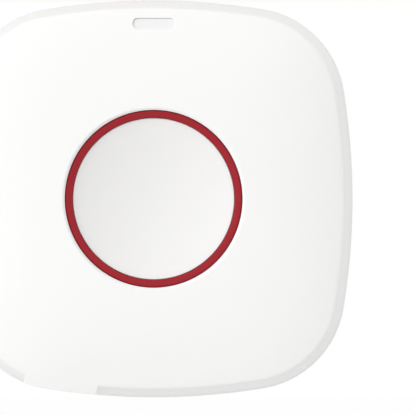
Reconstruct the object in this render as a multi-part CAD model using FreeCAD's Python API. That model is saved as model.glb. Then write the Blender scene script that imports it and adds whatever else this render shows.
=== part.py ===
import FreeCAD, Part
import math
import os

# Wall-mounted wireless panic button, in millimetres.
# The model is drawn lying on its back: x to the right, y up the wall, and the height above the wall as z.
# The last step turns it upright, so that the front looks along -Y and up the wall is +Z.

# Outline: a rounded square of eight tangent arcs
OVERALL_WIDTH = 75.0
SIDE_ARC_RADIUS = 126.3
CORNER_ARC_RADIUS = 18.4
SIDE_DRAFT_DEG = 4.7
CREASE_BEVEL = 0.5

# Front skin: a pillow whose height falls with the fourth power of x and of y
CROWN_DROP = 4.0
CROWN_SPAN = 37.5
SKIN_WALL = 1.6
SIDE_WALL = 1.5

# Rear panel
PANEL_FLOOR = 2.0
PARTING_HEIGHT = 6.0
SEAM_GAP = 0.1
BACK_CHAMFER = 0.8
LIP_WALL = 0.9
LIP_RISE = 1.2
LIP_CLEARANCE = 0.15
WALL_HOLE_SPACING = 46.0
WALL_HOLE_RADIUS = 2.15
WALL_BOSS_RADIUS = 5.0
WALL_BOSS_RISE = 1.0
PANEL_RIB_SPREAD = 34.0
PANEL_RIB_WIDTH = 1.2
PANEL_RIB_RISE = 0.8
PAD_RECESS_WIDTH = 18.0
PAD_RECESS_LENGTH = 44.0
PAD_RECESS_DEPTH = 0.3
PAD_RECESS_OFFSET = 19.0
PAD_CORNER = 2.0

# Snap lugs of the rear panel: two hooks at the top, two catches at the bottom
LUG_SPREAD = 35.2
LUG_WIDTH = 8.0
LUG_WALL = 1.2
LUG_RISE = 3.8
LUG_BITE = 0.35
LUG_NOSE_START = 1.9
LUG_NOSE_SLOPE = 2.2
LUG_PLAY = 0.15
LUG_SIDE_PLAY = 0.3

# Thumb tab on the front cover's lower edge
TAB_LEFT = -24.6
TAB_RIGHT = -10.7
TAB_DEPTH = 3.2
TAB_SLANT_DEG = 8.0
TAB_DRAFT_DEG = 0.8

# Coin cell and its holder, on the wall side of the board
CELL_RADIUS = 12.25
CELL_THICKNESS = 5.0
CELL_EDGE_BEVEL = 0.5
CELL_POLE_RADIUS = 10.6
CELL_POLE_RISE = 0.25
CELL_BACK_GAP = 1.9
CELL_LEAF_GAP = 0.3
HOLDER_BASE = 0.8
HOLDER_WALL = 1.2
HOLDER_FIT = 0.2
HOLDER_HEIGHT = 4.4
HOLDER_MOUTH_DEG = 100.0
HOLDER_HOLE_RADIUS = 8.0
LEAF_THICKNESS = 0.25
LEAF_WIDTH = 4.0
LEAF_ARC_DEG = 46.0
LEAF_HEIGHT = 3.2
LEAF_FOOT = 2.4
LEAF_GAP = 0.05

# Circuit board
BOARD_INSET = 4.5
BOARD_THICKNESS = 1.6
BOARD_HOLE_RADIUS = 1.4
SCREW_SHIFT = 6.3
SCREW_RADIUS = 1.1
SCREW_LENGTH = 7.0
SCREW_HEAD_RADIUS = 2.1
SCREW_HEAD_HEIGHT = 1.5
SCREW_HEAD_BEVEL = 0.5
SCREW_RECESS_WIDTH = 0.6
SCREW_RECESS_SPAN = 2.2
SCREW_RECESS_DEPTH = 0.8
SCREW_PLAY = 0.05
BOSS_RADIUS = 2.9
BOSS_RIB_WALL = 1.0
BOSS_RIB_RISE = 2.5

# Push switch under the button
SWITCH_SIDE = 7.0
SWITCH_HEIGHT = 3.5
SWITCH_WALL = 0.5
SWITCH_COVER = 0.3
STEM_RADIUS = 1.75
STEM_FLANGE_RADIUS = 2.5
STEM_FLANGE = 0.75
STEM_PROUD = 1.7
STEM_PLAY = 0.08
STEM_REST_GAP = 0.05
LEAD_WIDTH = 0.8
LEAD_THICKNESS = 0.2
LEAD_REACH = 1.1
LEAD_SPREAD = 3.5

# Button, its well and the trim ring
BUTTON_TRAVEL = 1.0
BUTTON_RADIUS = 15.0
BUTTON_WALL = 1.5
DISH_SAG = 1.9
BUTTON_EDGE_BEVEL = 0.3
PLUNGER_RADIUS = 2.6
PLUNGER_PLAY = 0.08
PLUNGER_GAP = 0.05
GUIDE_WALL = 1.3
GUIDE_RISE = 2.0
STOP_GAP = 0.1
SKIRT_GAP = 1.3
WELL_FLOOR = 1.6
WELL_FLOOR_LIFT = 1.3
WELL_PLAY = 0.4
CLIP_COUNT = 3
CLIP_RADIUS = 10.4
CLIP_WALL = 1.2
CLIP_WIDTH = 3.0
CLIP_BITE = 0.7
CLIP_NOSE = 1.1
CLIP_NOSE_EDGE = 0.37
CLIP_PLAY = 0.2
CLIP_GAP = 0.08
RING_PLAY = 0.1
RING_WIDTH = 1.5
RING_HEIGHT = 3.0
RING_SLOPE_DEG = 12.0
RING_LIP = 0.2
RING_BEVEL = 0.2
RING_FIT = 0.05
RING_RECESS = 0.42
RECESS_FLARE = 0.45
WELL_RIB_WALL = 1.0
WELL_RIB_DROP = 6.0

# Return spring round the plunger guide
SPRING_RADIUS = 5.4
SPRING_WIRE_RADIUS = 0.25
SPRING_TURNS = 3.0
SPRING_SIDES = 8
SPRING_SEAT_GAP = 0.03

# Indicator window with its light pipe and lamp
WINDOW_LENGTH = 7.5
WINDOW_WIDTH = 1.9
WINDOW_ROUND = 0.85
WINDOW_INSET = 4.67
WINDOW_RECESS = 0.4
WINDOW_FIT = 0.06
WINDOW_FRAME_WALL = 1.2
WINDOW_FRAME_DROP = 5.0
PIPE_FLANGE = 0.8
PIPE_FLANGE_LIP = 0.9
PIPE_FOOT_LENGTH = 4.0
PIPE_LAMP_GAP = 0.3
LAMP_LENGTH = 3.2
LAMP_WIDTH = 1.4
LAMP_HEIGHT = 0.9
LAMP_SHOULDER = 0.3

# Cover switch that the rear panel's post holds down
TAMPER_FROM_EDGE = 10.0
TAMPER_Y = -2.0
TAMPER_SIDE = 5.0
TAMPER_HEIGHT = 3.2
TAMPER_WALL = 0.4
TAMPER_TRAVEL = 1.5
TAMPER_PIN_RADIUS = 1.0
TAMPER_FLANGE_RADIUS = 1.6
TAMPER_FLANGE = 0.5
TAMPER_PROUD = 1.8
TAMPER_PLAY = 0.08
TAMPER_REST_GAP = 0.05
POST_RADIUS = 2.2
POST_GAP = 0.05

# Parts soldered to the front of the board: sizes are length, width and height,
# and places are counted from the nearest lower screw or from the board's edge
SHIELD_SIZE = (15.0, 11.0, 2.2)
SHIELD_FROM_SCREW = (-2.95, 9.95)
SHIELD_WALL = 0.3
SHIELD_VENT_RADIUS = 0.5
SHIELD_VENT_PITCH = 3.75
CHIP_SIZE = (6.0, 6.0, 0.9)
CHIP_FROM_SCREW = (1.95, 11.95)
CRYSTAL_SIZE = (3.2, 2.5, 0.8)
CRYSTAL_FROM_SCREW = (1.95, 4.45)
CAPACITOR_SIZE = (2.0, 1.25, 0.9)
CAPACITOR_FROM_EDGE = 5.0
CAPACITOR_START_Y = 2.0
CAPACITOR_COUNT = 4
CAPACITOR_PITCH = 3.4
RESISTOR_SIZE = (1.6, 0.8, 0.45)
RESISTOR_FROM_EDGE = 9.5
RESISTOR_START_Y = 1.0
RESISTOR_COUNT = 6
RESISTOR_PITCH = 2.2
ANTENNA_LENGTH = 24.0
ANTENNA_WIDTH = 4.0
ANTENNA_LIFT = 3.0
ANTENNA_SHEET = 0.4
ANTENNA_LEG = 1.5
ANTENNA_FROM_EDGE = 5.0
CHIP_CHAMFER = 0.15

# Heights above the wall that follow from the stack of pieces
HALF_WIDTH = OVERALL_WIDTH / 2
CELL_LOW = PANEL_FLOOR + CELL_BACK_GAP
CELL_HIGH = CELL_LOW + CELL_THICKNESS
BOARD_BACK = CELL_HIGH + CELL_LEAF_GAP + HOLDER_BASE
BOARD_FRONT = BOARD_BACK + BOARD_THICKNESS
SWITCH_TOP = BOARD_FRONT + SWITCH_HEIGHT
STEM_TOP = SWITCH_TOP + STEM_PROUD
WELL_LOW = SWITCH_TOP + WELL_FLOOR_LIFT
WELL_BOTTOM = WELL_LOW + WELL_FLOOR
GUIDE_TOP = WELL_BOTTOM + GUIDE_RISE
CAP_UNDERSIDE = GUIDE_TOP + BUTTON_TRAVEL + STOP_GAP
DISH_LOW = CAP_UNDERSIDE + BUTTON_WALL
CAP_RIM = DISH_LOW + DISH_SAG
RING_INNER_RADIUS = BUTTON_RADIUS + RING_PLAY
RING_OUTER_RADIUS = RING_INNER_RADIUS + RING_WIDTH
RING_INNER_TOP = CAP_RIM + RING_LIP
RING_OUTER_TOP = RING_INNER_TOP + RING_WIDTH * math.tan(math.radians(RING_SLOPE_DEG))
RING_SEAT = RING_OUTER_TOP - RING_HEIGHT
WELL_BORE = RING_OUTER_RADIUS + RING_FIT
WELL_OUTER = WELL_BORE + SIDE_WALL
CROWN_TOP = RING_OUTER_TOP + RING_RECESS + CROWN_DROP * (WELL_BORE / CROWN_SPAN) ** 4
WINDOW_Y = HALF_WIDTH - WINDOW_INSET
BOARD_REACH = HALF_WIDTH - BOARD_INSET
TAMPER_X = BOARD_REACH - TAMPER_FROM_EDGE

# Reach of a cutter past the surface that it cuts, and of the pillow past the outline
OVERCUT = 1.0
PILLOW_MARGIN = 3.0
PILLOW_REACH = HALF_WIDTH + PILLOW_MARGIN
BLOCK_TOP = CROWN_TOP + OVERCUT


def vec(x, y, z=0.0):
    """Shorthand for a point."""
    return FreeCAD.Vector(x, y, z)


def side_inset(height, draft_deg=SIDE_DRAFT_DEG):
    """How far the drafted side has moved in at a height above the wall."""
    return max(0.0, height - BACK_CHAMFER) * math.tan(math.radians(draft_deg))


def skin_height(x, y):
    """Height of the pillow over a point of the wall."""
    return CROWN_TOP - CROWN_DROP * ((x / CROWN_SPAN) ** 4 + (y / CROWN_SPAN) ** 4)


def corner_centre():
    """Both coordinates of the corner arc's centre, where it is tangent to the side arcs."""
    reach = SIDE_ARC_RADIUS - HALF_WIDTH
    span = SIDE_ARC_RADIUS - CORNER_ARC_RADIUS
    return (math.sqrt(2 * span ** 2 - reach ** 2) - reach) / 2


def outline(inset, height):
    """The rounded square's wire, all of its arcs moved in by the inset."""
    centre = corner_centre()
    drop = SIDE_ARC_RADIUS - HALF_WIDTH
    share = (SIDE_ARC_RADIUS - inset) / (SIDE_ARC_RADIUS - CORNER_ARC_RADIUS)
    right = vec(share * centre, share * (centre + drop) - drop, height)
    left = vec(-right.x, right.y, height)
    corner = centre + (CORNER_ARC_RADIUS - inset) / math.sqrt(2)
    side = Part.Arc(left, vec(0, HALF_WIDTH - inset, height), right).toShape()
    bend = Part.Arc(right, vec(corner, corner, height), vec(right.y, right.x, height)).toShape()
    edges = []
    for quarter in range(4):
        for edge in (side, bend):
            turned = edge.copy()
            turned.rotate(vec(0, 0), vec(0, 0, 1), -90 * quarter)
            edges.append(turned)
    return Part.Wire(edges)


def slab(low, high, inset_low, inset_high=None):
    """Solid between two outlines, straight-sided where only one inset is given."""
    top = inset_low if inset_high is None else inset_high
    return Part.makeLoft([outline(inset_low, low), outline(top, high)], True, True)


def drafted(low, high, inset):
    """Solid whose sides run parallel to the housing's, an inset inside them."""
    return slab(low, high, side_inset(low) + inset, side_inset(high) + inset)


def over_pillow(drop):
    """Everything above the pillow when it is lowered by the drop."""
    surface = Part.BezierSurface()
    surface.increase(4, 4)
    span = CROWN_DROP * (PILLOW_REACH / CROWN_SPAN) ** 4
    for i in range(5):
        for j in range(5):
            # the quartic's poles alternate in sign, which gives the fourth power exactly
            height = CROWN_TOP - drop - span * ((-1) ** i + (-1) ** j)
            pole = vec(PILLOW_REACH * (i / 2 - 1), PILLOW_REACH * (j / 2 - 1), height)
            surface.setPole(i + 1, j + 1, pole)
    rise = drop + 2 * span + BLOCK_TOP
    return surface.toShape().extrude(vec(0, 0, rise))


def cylinder(radius, low, high, x=0.0, y=0.0):
    """Upright cylinder between two heights."""
    return Part.makeCylinder(radius, high - low, vec(x, y, low))


def tube(outer, inner, low, high, x=0.0, y=0.0):
    """Upright tube between two heights."""
    core = cylinder(inner, low - OVERCUT, high + OVERCUT, x, y)
    return cylinder(outer, low, high, x, y).cut(core)


def block(size_x, size_y, low, high, x=0.0, y=0.0):
    """Upright block centred on a point of the wall."""
    return Part.makeBox(size_x, size_y, high - low, vec(x - size_x / 2, y - size_y / 2, low))


def revolve(points):
    """Solid turned from a closed profile of radius and height."""
    wire = Part.makePolygon([vec(r, 0, z) for r, z in points + points[:1]])
    return Part.Face(wire).revolve(vec(0, 0), vec(0, 0, 1), 360)


def rounded_bar(length, width, corner, low, high, x=0.0, y=0.0):
    """Upright bar with rounded corners."""
    bar = block(length, width, low, high, x, y)
    uprights = [e for e in bar.Edges if abs(e.tangentAt(e.FirstParameter).z) > 0.9]
    return bar.makeFillet(corner, uprights)


def round_about(shape, count):
    """The same shape set evenly about the centre, the first one towards +y."""
    copies = []
    for k in range(count):
        copy = shape.copy()
        copy.rotate(vec(0, 0), vec(0, 0, 1), 90 + 360 * k / count)
        copies.append(copy)
    return copies


def fuse_all(shapes):
    """One solid from overlapping pieces, with no seams left inside a face."""
    return shapes[0].multiFuse(shapes[1:]).removeSplitter()


def screw_reach():
    """Both coordinates of a board screw."""
    return corner_centre() + SCREW_SHIFT


def screw_places():
    """Centres of the four board screws."""
    place = screw_reach()
    return [(sx * place, sy * place) for sx in (-1, 1) for sy in (-1, 1)]


def from_lower_screw(side, shift):
    """Point counted from the lower screw on the left, -1, or on the right, 1."""
    return (side * screw_reach() + shift[0], shift[1] - screw_reach())


def band(outer_inset, inner_inset, low, high, side, width, centre_x):
    """Short stretch of a wall that follows the outline, at the top or bottom side."""
    ring = drafted(low, high, outer_inset).cut(drafted(low - OVERCUT, high + OVERCUT, inner_inset))
    window = block(width, HALF_WIDTH, low, high, centre_x, side * HALF_WIDTH)
    return ring.common(window)


def lug(side, centre_x):
    """Upstanding lug of the rear panel, with a nose that slopes on its underside."""
    face = SIDE_WALL + LIP_CLEARANCE
    top = PARTING_HEIGHT + LUG_RISE
    arm = band(face, face + LUG_WALL, PANEL_FLOOR, top, side, LUG_WIDTH, centre_x)
    bite = LUG_BITE + LIP_CLEARANCE
    start = PARTING_HEIGHT + LUG_NOSE_START
    crest = start + LUG_NOSE_SLOPE * bite
    slope = slab(start, crest, side_inset(start) + face, side_inset(crest) + face - bite)
    lead = slab(crest, top, side_inset(crest) + face - bite, side_inset(top) + face)
    hollow = drafted(start - OVERCUT, top + OVERCUT, face + LUG_WALL / 2)
    window = block(LUG_WIDTH, HALF_WIDTH, start, top, centre_x, side * HALF_WIDTH)
    nose = slope.fuse(lead).cut(hollow).common(window)
    return arm.fuse(nose)


def lug_places():
    """Side and x of the four lugs."""
    return [(side, sx * LUG_SPREAD / 2) for side in (1, -1) for sx in (-1, 1)]


def lug_recess(side, centre_x):
    """Recess in the front cover's side wall for one lug's nose."""
    face = SIDE_WALL - LUG_BITE - LUG_PLAY
    low = PARTING_HEIGHT + LUG_NOSE_START - LUG_PLAY
    high = PARTING_HEIGHT + LUG_RISE + LUG_PLAY
    width = LUG_WIDTH + 2 * LUG_SIDE_PLAY
    return band(face, face + SIDE_WALL, low, high, side, width, centre_x)


def rear_panel():
    """Plate on the wall: rim with a lip, wall-screw bosses, post and lugs."""
    lip_outer = SIDE_WALL + LIP_CLEARANCE
    lip_inner = lip_outer + LIP_WALL
    lip_top = PARTING_HEIGHT + LIP_RISE
    plate = slab(0, BACK_CHAMFER, BACK_CHAMFER, 0)
    plate = plate.fuse(drafted(BACK_CHAMFER, PARTING_HEIGHT, 0))
    plate = plate.fuse(drafted(PARTING_HEIGHT - OVERCUT, lip_top, lip_outer))
    plate = plate.cut(drafted(PANEL_FLOOR, lip_top + OVERCUT, lip_inner))
    added = [lug(side, x) for side, x in lug_places()]
    boss_top = PANEL_FLOOR + WALL_BOSS_RISE
    for sy in (-1, 1):
        added.append(cylinder(WALL_BOSS_RADIUS, 0, boss_top, 0, sy * WALL_HOLE_SPACING / 2))
    for sx in (-1, 1):
        rib_top = PANEL_FLOOR + PANEL_RIB_RISE
        length = 2 * (HALF_WIDTH - lip_inner)
        rib = block(PANEL_RIB_WIDTH, length, PANEL_FLOOR / 2, rib_top, sx * PANEL_RIB_SPREAD / 2)
        added.append(rib.common(drafted(0, rib_top, lip_outer)))
    post_top = BOARD_BACK - TAMPER_HEIGHT - TAMPER_PROUD - POST_GAP
    added.append(cylinder(POST_RADIUS, PANEL_FLOOR / 2, post_top, TAMPER_X, TAMPER_Y))
    plate = fuse_all([plate] + added)
    for sy in (-1, 1):
        y = sy * WALL_HOLE_SPACING / 2
        plate = plate.cut(cylinder(WALL_HOLE_RADIUS, -OVERCUT, boss_top + OVERCUT, 0, y))
    for sx in (-1, 1):
        x = sx * PAD_RECESS_OFFSET
        pad = rounded_bar(PAD_RECESS_WIDTH, PAD_RECESS_LENGTH, PAD_CORNER, -OVERCUT, PAD_RECESS_DEPTH, x)
        plate = plate.cut(pad)
    return plate


def thumb_tab():
    """Tab that fills the draft under the crease, its ends slanted towards each other at the front."""
    low = PARTING_HEIGHT + SEAM_GAP
    slant = math.tan(math.radians(TAB_SLANT_DEG)) * TAB_DEPTH / 2
    outer_y = -HALF_WIDTH - OVERCUT
    inner_y = -HALF_WIDTH + TAB_DEPTH
    corners = [
        vec(TAB_LEFT + slant, outer_y, low),
        vec(TAB_RIGHT - slant, outer_y, low),
        vec(TAB_RIGHT + slant, inner_y, low),
        vec(TAB_LEFT - slant, inner_y, low),
    ]
    plan = Part.Face(Part.makePolygon(corners + corners[:1]))
    tab = plan.extrude(vec(0, 0, BLOCK_TOP - low))
    outside = slab(low, BLOCK_TOP, side_inset(low, TAB_DRAFT_DEG), side_inset(BLOCK_TOP, TAB_DRAFT_DEG))
    return tab.common(outside).cut(over_pillow(0))


def cover_block(inset, drop):
    """Solid under the pillow, from the parting line up, moved in by a wall all round."""
    return drafted(PARTING_HEIGHT + SEAM_GAP, BLOCK_TOP, inset).cut(over_pillow(drop))


def crease_edges(body):
    """Edges where the pillow meets the sides."""
    pillow = max(body.Faces, key=lambda face: face.CenterOfMass.z)
    return pillow.OuterWire.Edges


def window_frame():
    """Block under the skin that the window's slot runs through."""
    return block(
        WINDOW_LENGTH + 2 * WINDOW_FRAME_WALL,
        WINDOW_WIDTH + 2 * WINDOW_FRAME_WALL,
        window_seat(),
        BLOCK_TOP,
        0,
        WINDOW_Y,
    )


def window_seat():
    """Height of the flat face that the light pipe's flange sits against."""
    return skin_height(0, WINDOW_Y) - WINDOW_FRAME_DROP


def cover_insides():
    """Well, bosses and ribs of the front cover, before they are trimmed to the skin."""
    pieces = [cylinder(WELL_OUTER, WELL_LOW, BLOCK_TOP)]
    for x, y in screw_places():
        pieces.append(cylinder(BOSS_RADIUS, BOARD_FRONT, BLOCK_TOP, x, y))
        gusset = block(HALF_WIDTH, BOSS_RIB_WALL, BOARD_FRONT + BOSS_RIB_RISE, BLOCK_TOP, HALF_WIDTH / 2)
        gusset.rotate(vec(0, 0), vec(0, 0, 1), math.degrees(math.atan2(y, x)))
        gusset.translate(vec(x, y))
        pieces.append(gusset)
    rib_low = RING_OUTER_TOP - WELL_RIB_DROP
    for angle in (0, 180, 270):
        rib = block(HALF_WIDTH, WELL_RIB_WALL, rib_low, BLOCK_TOP, HALF_WIDTH / 2)
        rib.rotate(vec(0, 0), vec(0, 0, 1), angle)
        pieces.append(rib)
    pieces.append(window_frame())
    trim = cover_block(SIDE_WALL / 2, SKIN_WALL / 2)
    return [piece.common(trim) for piece in pieces]


def front_cover():
    """Pillow-shaped housing with the button's well moulded in."""
    shell = cover_block(0, 0)
    shell = shell.makeChamfer(CREASE_BEVEL, crease_edges(shell))
    shell = shell.fuse(thumb_tab())
    hollow = drafted(PARTING_HEIGHT, BLOCK_TOP, SIDE_WALL)
    shell = shell.cut(hollow.cut(over_pillow(SKIN_WALL)))
    shell = fuse_all([shell] + cover_insides())
    mouth = RING_OUTER_TOP
    flare_top = mouth + RING_RECESS
    slope = RECESS_FLARE / RING_RECESS
    slot_low = window_seat() - OVERCUT
    cuts = [
        cylinder(WELL_BORE, RING_SEAT, BLOCK_TOP),
        Part.makeCone(
            WELL_BORE,
            WELL_BORE + slope * (RING_RECESS + OVERCUT),
            flare_top + OVERCUT - mouth,
            vec(0, 0, mouth),
        ),
        cylinder(BUTTON_RADIUS + WELL_PLAY, WELL_BOTTOM, BLOCK_TOP),
        rounded_bar(WINDOW_LENGTH, WINDOW_WIDTH, WINDOW_ROUND, slot_low, BLOCK_TOP, 0, WINDOW_Y),
    ]
    for x, y in screw_places():
        depth = BOARD_FRONT + SCREW_LENGTH - BOARD_THICKNESS + SCREW_PLAY
        cuts.append(cylinder(SCREW_RADIUS + SCREW_PLAY, BOARD_FRONT - OVERCUT, depth, x, y))
    cuts += [lug_recess(side, x) for side, x in lug_places()]
    for cut in cuts:
        shell = shell.cut(cut)
    guide = cylinder(PLUNGER_RADIUS + PLUNGER_PLAY + GUIDE_WALL, WELL_LOW, GUIDE_TOP)
    shell = shell.fuse(guide).removeSplitter()
    shell = shell.cut(cylinder(PLUNGER_RADIUS + PLUNGER_PLAY, WELL_LOW - OVERCUT, BLOCK_TOP))
    slot = block(
        CLIP_WALL + CLIP_BITE + 2 * CLIP_PLAY,
        CLIP_WIDTH + 2 * CLIP_PLAY,
        WELL_LOW - OVERCUT,
        WELL_BOTTOM + OVERCUT,
        CLIP_RADIUS + (CLIP_WALL - CLIP_BITE) / 2,
    )
    for opening in round_about(slot, CLIP_COUNT):
        shell = shell.cut(opening)
    return shell


def trim_ring():
    """Ring seated on the well's ledge, its face sloping in towards the button."""
    fall = RING_BEVEL * math.tan(math.radians(RING_SLOPE_DEG))
    return revolve(
        [
            (RING_INNER_RADIUS, RING_SEAT),
            (RING_OUTER_RADIUS, RING_SEAT),
            (RING_OUTER_RADIUS, RING_OUTER_TOP - RING_BEVEL),
            (RING_OUTER_RADIUS - RING_BEVEL, RING_OUTER_TOP - fall),
            (RING_INNER_RADIUS + RING_BEVEL, RING_INNER_TOP + fall),
            (RING_INNER_RADIUS, RING_INNER_TOP - RING_BEVEL),
        ]
    )


def button_cap():
    """Dished button with a skirt, a central plunger and three clips."""
    dish_edge = BUTTON_RADIUS - BUTTON_EDGE_BEVEL
    dish_radius = (dish_edge ** 2 + DISH_SAG ** 2) / (2 * DISH_SAG)
    skirt_low = WELL_BOTTOM + SKIRT_GAP
    inner = BUTTON_RADIUS - BUTTON_WALL
    bend = dish_edge / 2
    bend_height = DISH_LOW + dish_radius - math.sqrt(dish_radius ** 2 - bend ** 2)
    shoulder = CAP_RIM - BUTTON_EDGE_BEVEL
    edges = [
        Part.makeLine(vec(0, 0, CAP_UNDERSIDE), vec(0, 0, DISH_LOW)),
        Part.Arc(vec(0, 0, DISH_LOW), vec(bend, 0, bend_height), vec(dish_edge, 0, CAP_RIM)).toShape(),
        Part.makeLine(vec(dish_edge, 0, CAP_RIM), vec(BUTTON_RADIUS, 0, shoulder)),
        Part.makeLine(vec(BUTTON_RADIUS, 0, shoulder), vec(BUTTON_RADIUS, 0, skirt_low)),
        Part.makeLine(vec(BUTTON_RADIUS, 0, skirt_low), vec(inner, 0, skirt_low)),
        Part.makeLine(vec(inner, 0, skirt_low), vec(inner, 0, CAP_UNDERSIDE)),
        Part.makeLine(vec(inner, 0, CAP_UNDERSIDE), vec(0, 0, CAP_UNDERSIDE)),
    ]
    cap = Part.Face(Part.Wire(edges)).revolve(vec(0, 0), vec(0, 0, 1), 360)
    plunger = cylinder(PLUNGER_RADIUS, STEM_TOP + PLUNGER_GAP, CAP_UNDERSIDE + BUTTON_WALL / 2)
    return fuse_all([cap, plunger] + round_about(clip(), CLIP_COUNT))


def clip():
    """One clip arm on the x axis, whose nose catches under the well's floor."""
    catch = WELL_LOW - CLIP_GAP
    low = catch - CLIP_NOSE
    outer = CLIP_RADIUS + CLIP_WALL
    points = [
        (CLIP_RADIUS, CAP_UNDERSIDE + BUTTON_WALL / 2),
        (CLIP_RADIUS, low),
        (outer, low),
        (outer + CLIP_BITE, catch - CLIP_NOSE_EDGE),
        (outer + CLIP_BITE, catch),
        (outer, catch),
        (outer, CAP_UNDERSIDE + BUTTON_WALL / 2),
    ]
    corners = [vec(r, -CLIP_WIDTH / 2, z) for r, z in points]
    profile = Part.Face(Part.makePolygon(corners + corners[:1]))
    return profile.extrude(vec(0, CLIP_WIDTH, 0))


def return_spring():
    """Open coil between the well's floor and the button, its round wire drawn with eight sides."""
    low = WELL_BOTTOM + SPRING_WIRE_RADIUS + SPRING_SEAT_GAP
    rise = CAP_UNDERSIDE - SPRING_WIRE_RADIUS - SPRING_SEAT_GAP - low
    helix = Part.makeHelix(rise / SPRING_TURNS, rise, SPRING_RADIUS)
    helix.translate(vec(0, 0, low))
    corners = []
    for k in range(SPRING_SIDES + 1):
        angle = 2 * math.pi * k / SPRING_SIDES
        across = SPRING_WIRE_RADIUS * math.cos(angle)
        corners.append(vec(SPRING_RADIUS + across, 0, low + SPRING_WIRE_RADIUS * math.sin(angle)))
    section = Part.makePolygon(corners)
    return Part.Wire(helix).makePipeShell([section], True, True)


def indicator_window():
    """Light pipe whose head fills the slot just under the skin."""
    seat = window_seat()
    lamp_top = BOARD_FRONT + LAMP_HEIGHT
    length = WINDOW_LENGTH - 2 * WINDOW_FIT
    width = WINDOW_WIDTH - 2 * WINDOW_FIT
    head = rounded_bar(length, width, WINDOW_ROUND, seat - PIPE_FLANGE / 2, BLOCK_TOP, 0, WINDOW_Y)
    head = head.cut(over_pillow(WINDOW_RECESS))
    flange = block(
        WINDOW_LENGTH + 2 * PIPE_FLANGE_LIP, width, seat - PIPE_FLANGE, seat - WINDOW_FIT, 0, WINDOW_Y
    )
    foot = PIPE_FOOT_LENGTH / 2
    half = length / 2 - WINDOW_ROUND
    low = lamp_top + PIPE_LAMP_GAP
    high = seat - PIPE_FLANGE / 2
    back = WINDOW_Y - width / 2
    corners = [vec(-foot, back, low), vec(foot, back, low), vec(half, back, high), vec(-half, back, high)]
    stem = Part.Face(Part.makePolygon(corners + corners[:1])).extrude(vec(0, width, 0))
    return fuse_all([head, flange, stem])


def indicator_lamp():
    """Surface-mounted lamp under the light pipe."""
    y = WINDOW_Y - LAMP_WIDTH / 2
    base = block(LAMP_LENGTH, LAMP_WIDTH, BOARD_FRONT, BOARD_FRONT + LAMP_HEIGHT / 2, 0, y)
    dome_length = LAMP_LENGTH - 2 * LAMP_SHOULDER
    dome = block(dome_length, LAMP_WIDTH, BOARD_FRONT + LAMP_HEIGHT / 2, BOARD_FRONT + LAMP_HEIGHT, 0, y)
    return fuse_all([base, dome])


def circuit_board():
    """Board that follows the housing's outline, on the cover's bosses."""
    board = slab(BOARD_BACK, BOARD_FRONT, BOARD_INSET)
    for x, y in screw_places():
        hole = cylinder(BOARD_HOLE_RADIUS, BOARD_BACK - OVERCUT, BOARD_FRONT + OVERCUT, x, y)
        board = board.cut(hole)
    return board


def board_screws():
    """Four screws through the board into the bosses, heads on the wall side."""
    screws = []
    for x, y in screw_places():
        head_low = BOARD_BACK - SCREW_HEAD_HEIGHT
        screw = revolve(
            [
                (0, head_low),
                (SCREW_HEAD_RADIUS - SCREW_HEAD_BEVEL, head_low),
                (SCREW_HEAD_RADIUS, head_low + SCREW_HEAD_BEVEL),
                (SCREW_HEAD_RADIUS, BOARD_BACK),
                (SCREW_RADIUS, BOARD_BACK),
                (SCREW_RADIUS, BOARD_BACK + SCREW_LENGTH),
                (0, BOARD_BACK + SCREW_LENGTH),
            ]
        )
        screw.translate(vec(x, y))
        recess_top = head_low + SCREW_RECESS_DEPTH
        for size in ((SCREW_RECESS_SPAN, SCREW_RECESS_WIDTH), (SCREW_RECESS_WIDTH, SCREW_RECESS_SPAN)):
            screw = screw.cut(block(size[0], size[1], head_low - OVERCUT, recess_top, x, y))
        screws.append(screw)
    return Part.makeCompound(screws)


def switch_base():
    """Moulded base of the push switch, hollow for the stem's flange."""
    top = SWITCH_TOP - SWITCH_COVER
    base = block(SWITCH_SIDE, SWITCH_SIDE, BOARD_FRONT, top)
    return base.cut(cylinder(STEM_FLANGE_RADIUS + STEM_PLAY, BOARD_FRONT + SWITCH_WALL, SWITCH_TOP))


def switch_cover():
    """Metal plate that keeps the stem in the switch."""
    low = SWITCH_TOP - SWITCH_COVER
    plate = block(SWITCH_SIDE, SWITCH_SIDE, low, SWITCH_TOP)
    return plate.cut(cylinder(STEM_RADIUS + STEM_PLAY, low - OVERCUT, SWITCH_TOP + OVERCUT))


def switch_stem():
    """Stem that the button's plunger pushes in."""
    flange_top = SWITCH_TOP - SWITCH_COVER - STEM_REST_GAP
    flange = cylinder(STEM_FLANGE_RADIUS, flange_top - STEM_FLANGE, flange_top)
    return flange.fuse(cylinder(STEM_RADIUS, flange_top - STEM_FLANGE, STEM_TOP)).removeSplitter()


def switch_leads():
    """Four flat leads of the push switch, soldered to the board."""
    leads = []
    for sx in (-1, 1):
        for sy in (-1, 1):
            x = sx * (SWITCH_SIDE + LEAD_REACH) / 2
            y = sy * LEAD_SPREAD / 2
            leads.append(block(LEAD_REACH, LEAD_WIDTH, BOARD_FRONT, BOARD_FRONT + LEAD_THICKNESS, x, y))
    return Part.makeCompound(leads)


def coin_cell():
    """Button cell: a wide can with a slightly smaller raised pole on the board's side."""
    can_high = CELL_HIGH - CELL_POLE_RISE
    return revolve(
        [
            (0, CELL_LOW),
            (CELL_RADIUS - CELL_EDGE_BEVEL, CELL_LOW),
            (CELL_RADIUS, CELL_LOW + CELL_EDGE_BEVEL),
            (CELL_RADIUS, can_high - CELL_EDGE_BEVEL),
            (CELL_RADIUS - CELL_EDGE_BEVEL, can_high),
            (CELL_POLE_RADIUS, can_high),
            (CELL_POLE_RADIUS, CELL_HIGH),
            (0, CELL_HIGH),
        ]
    )


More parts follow.
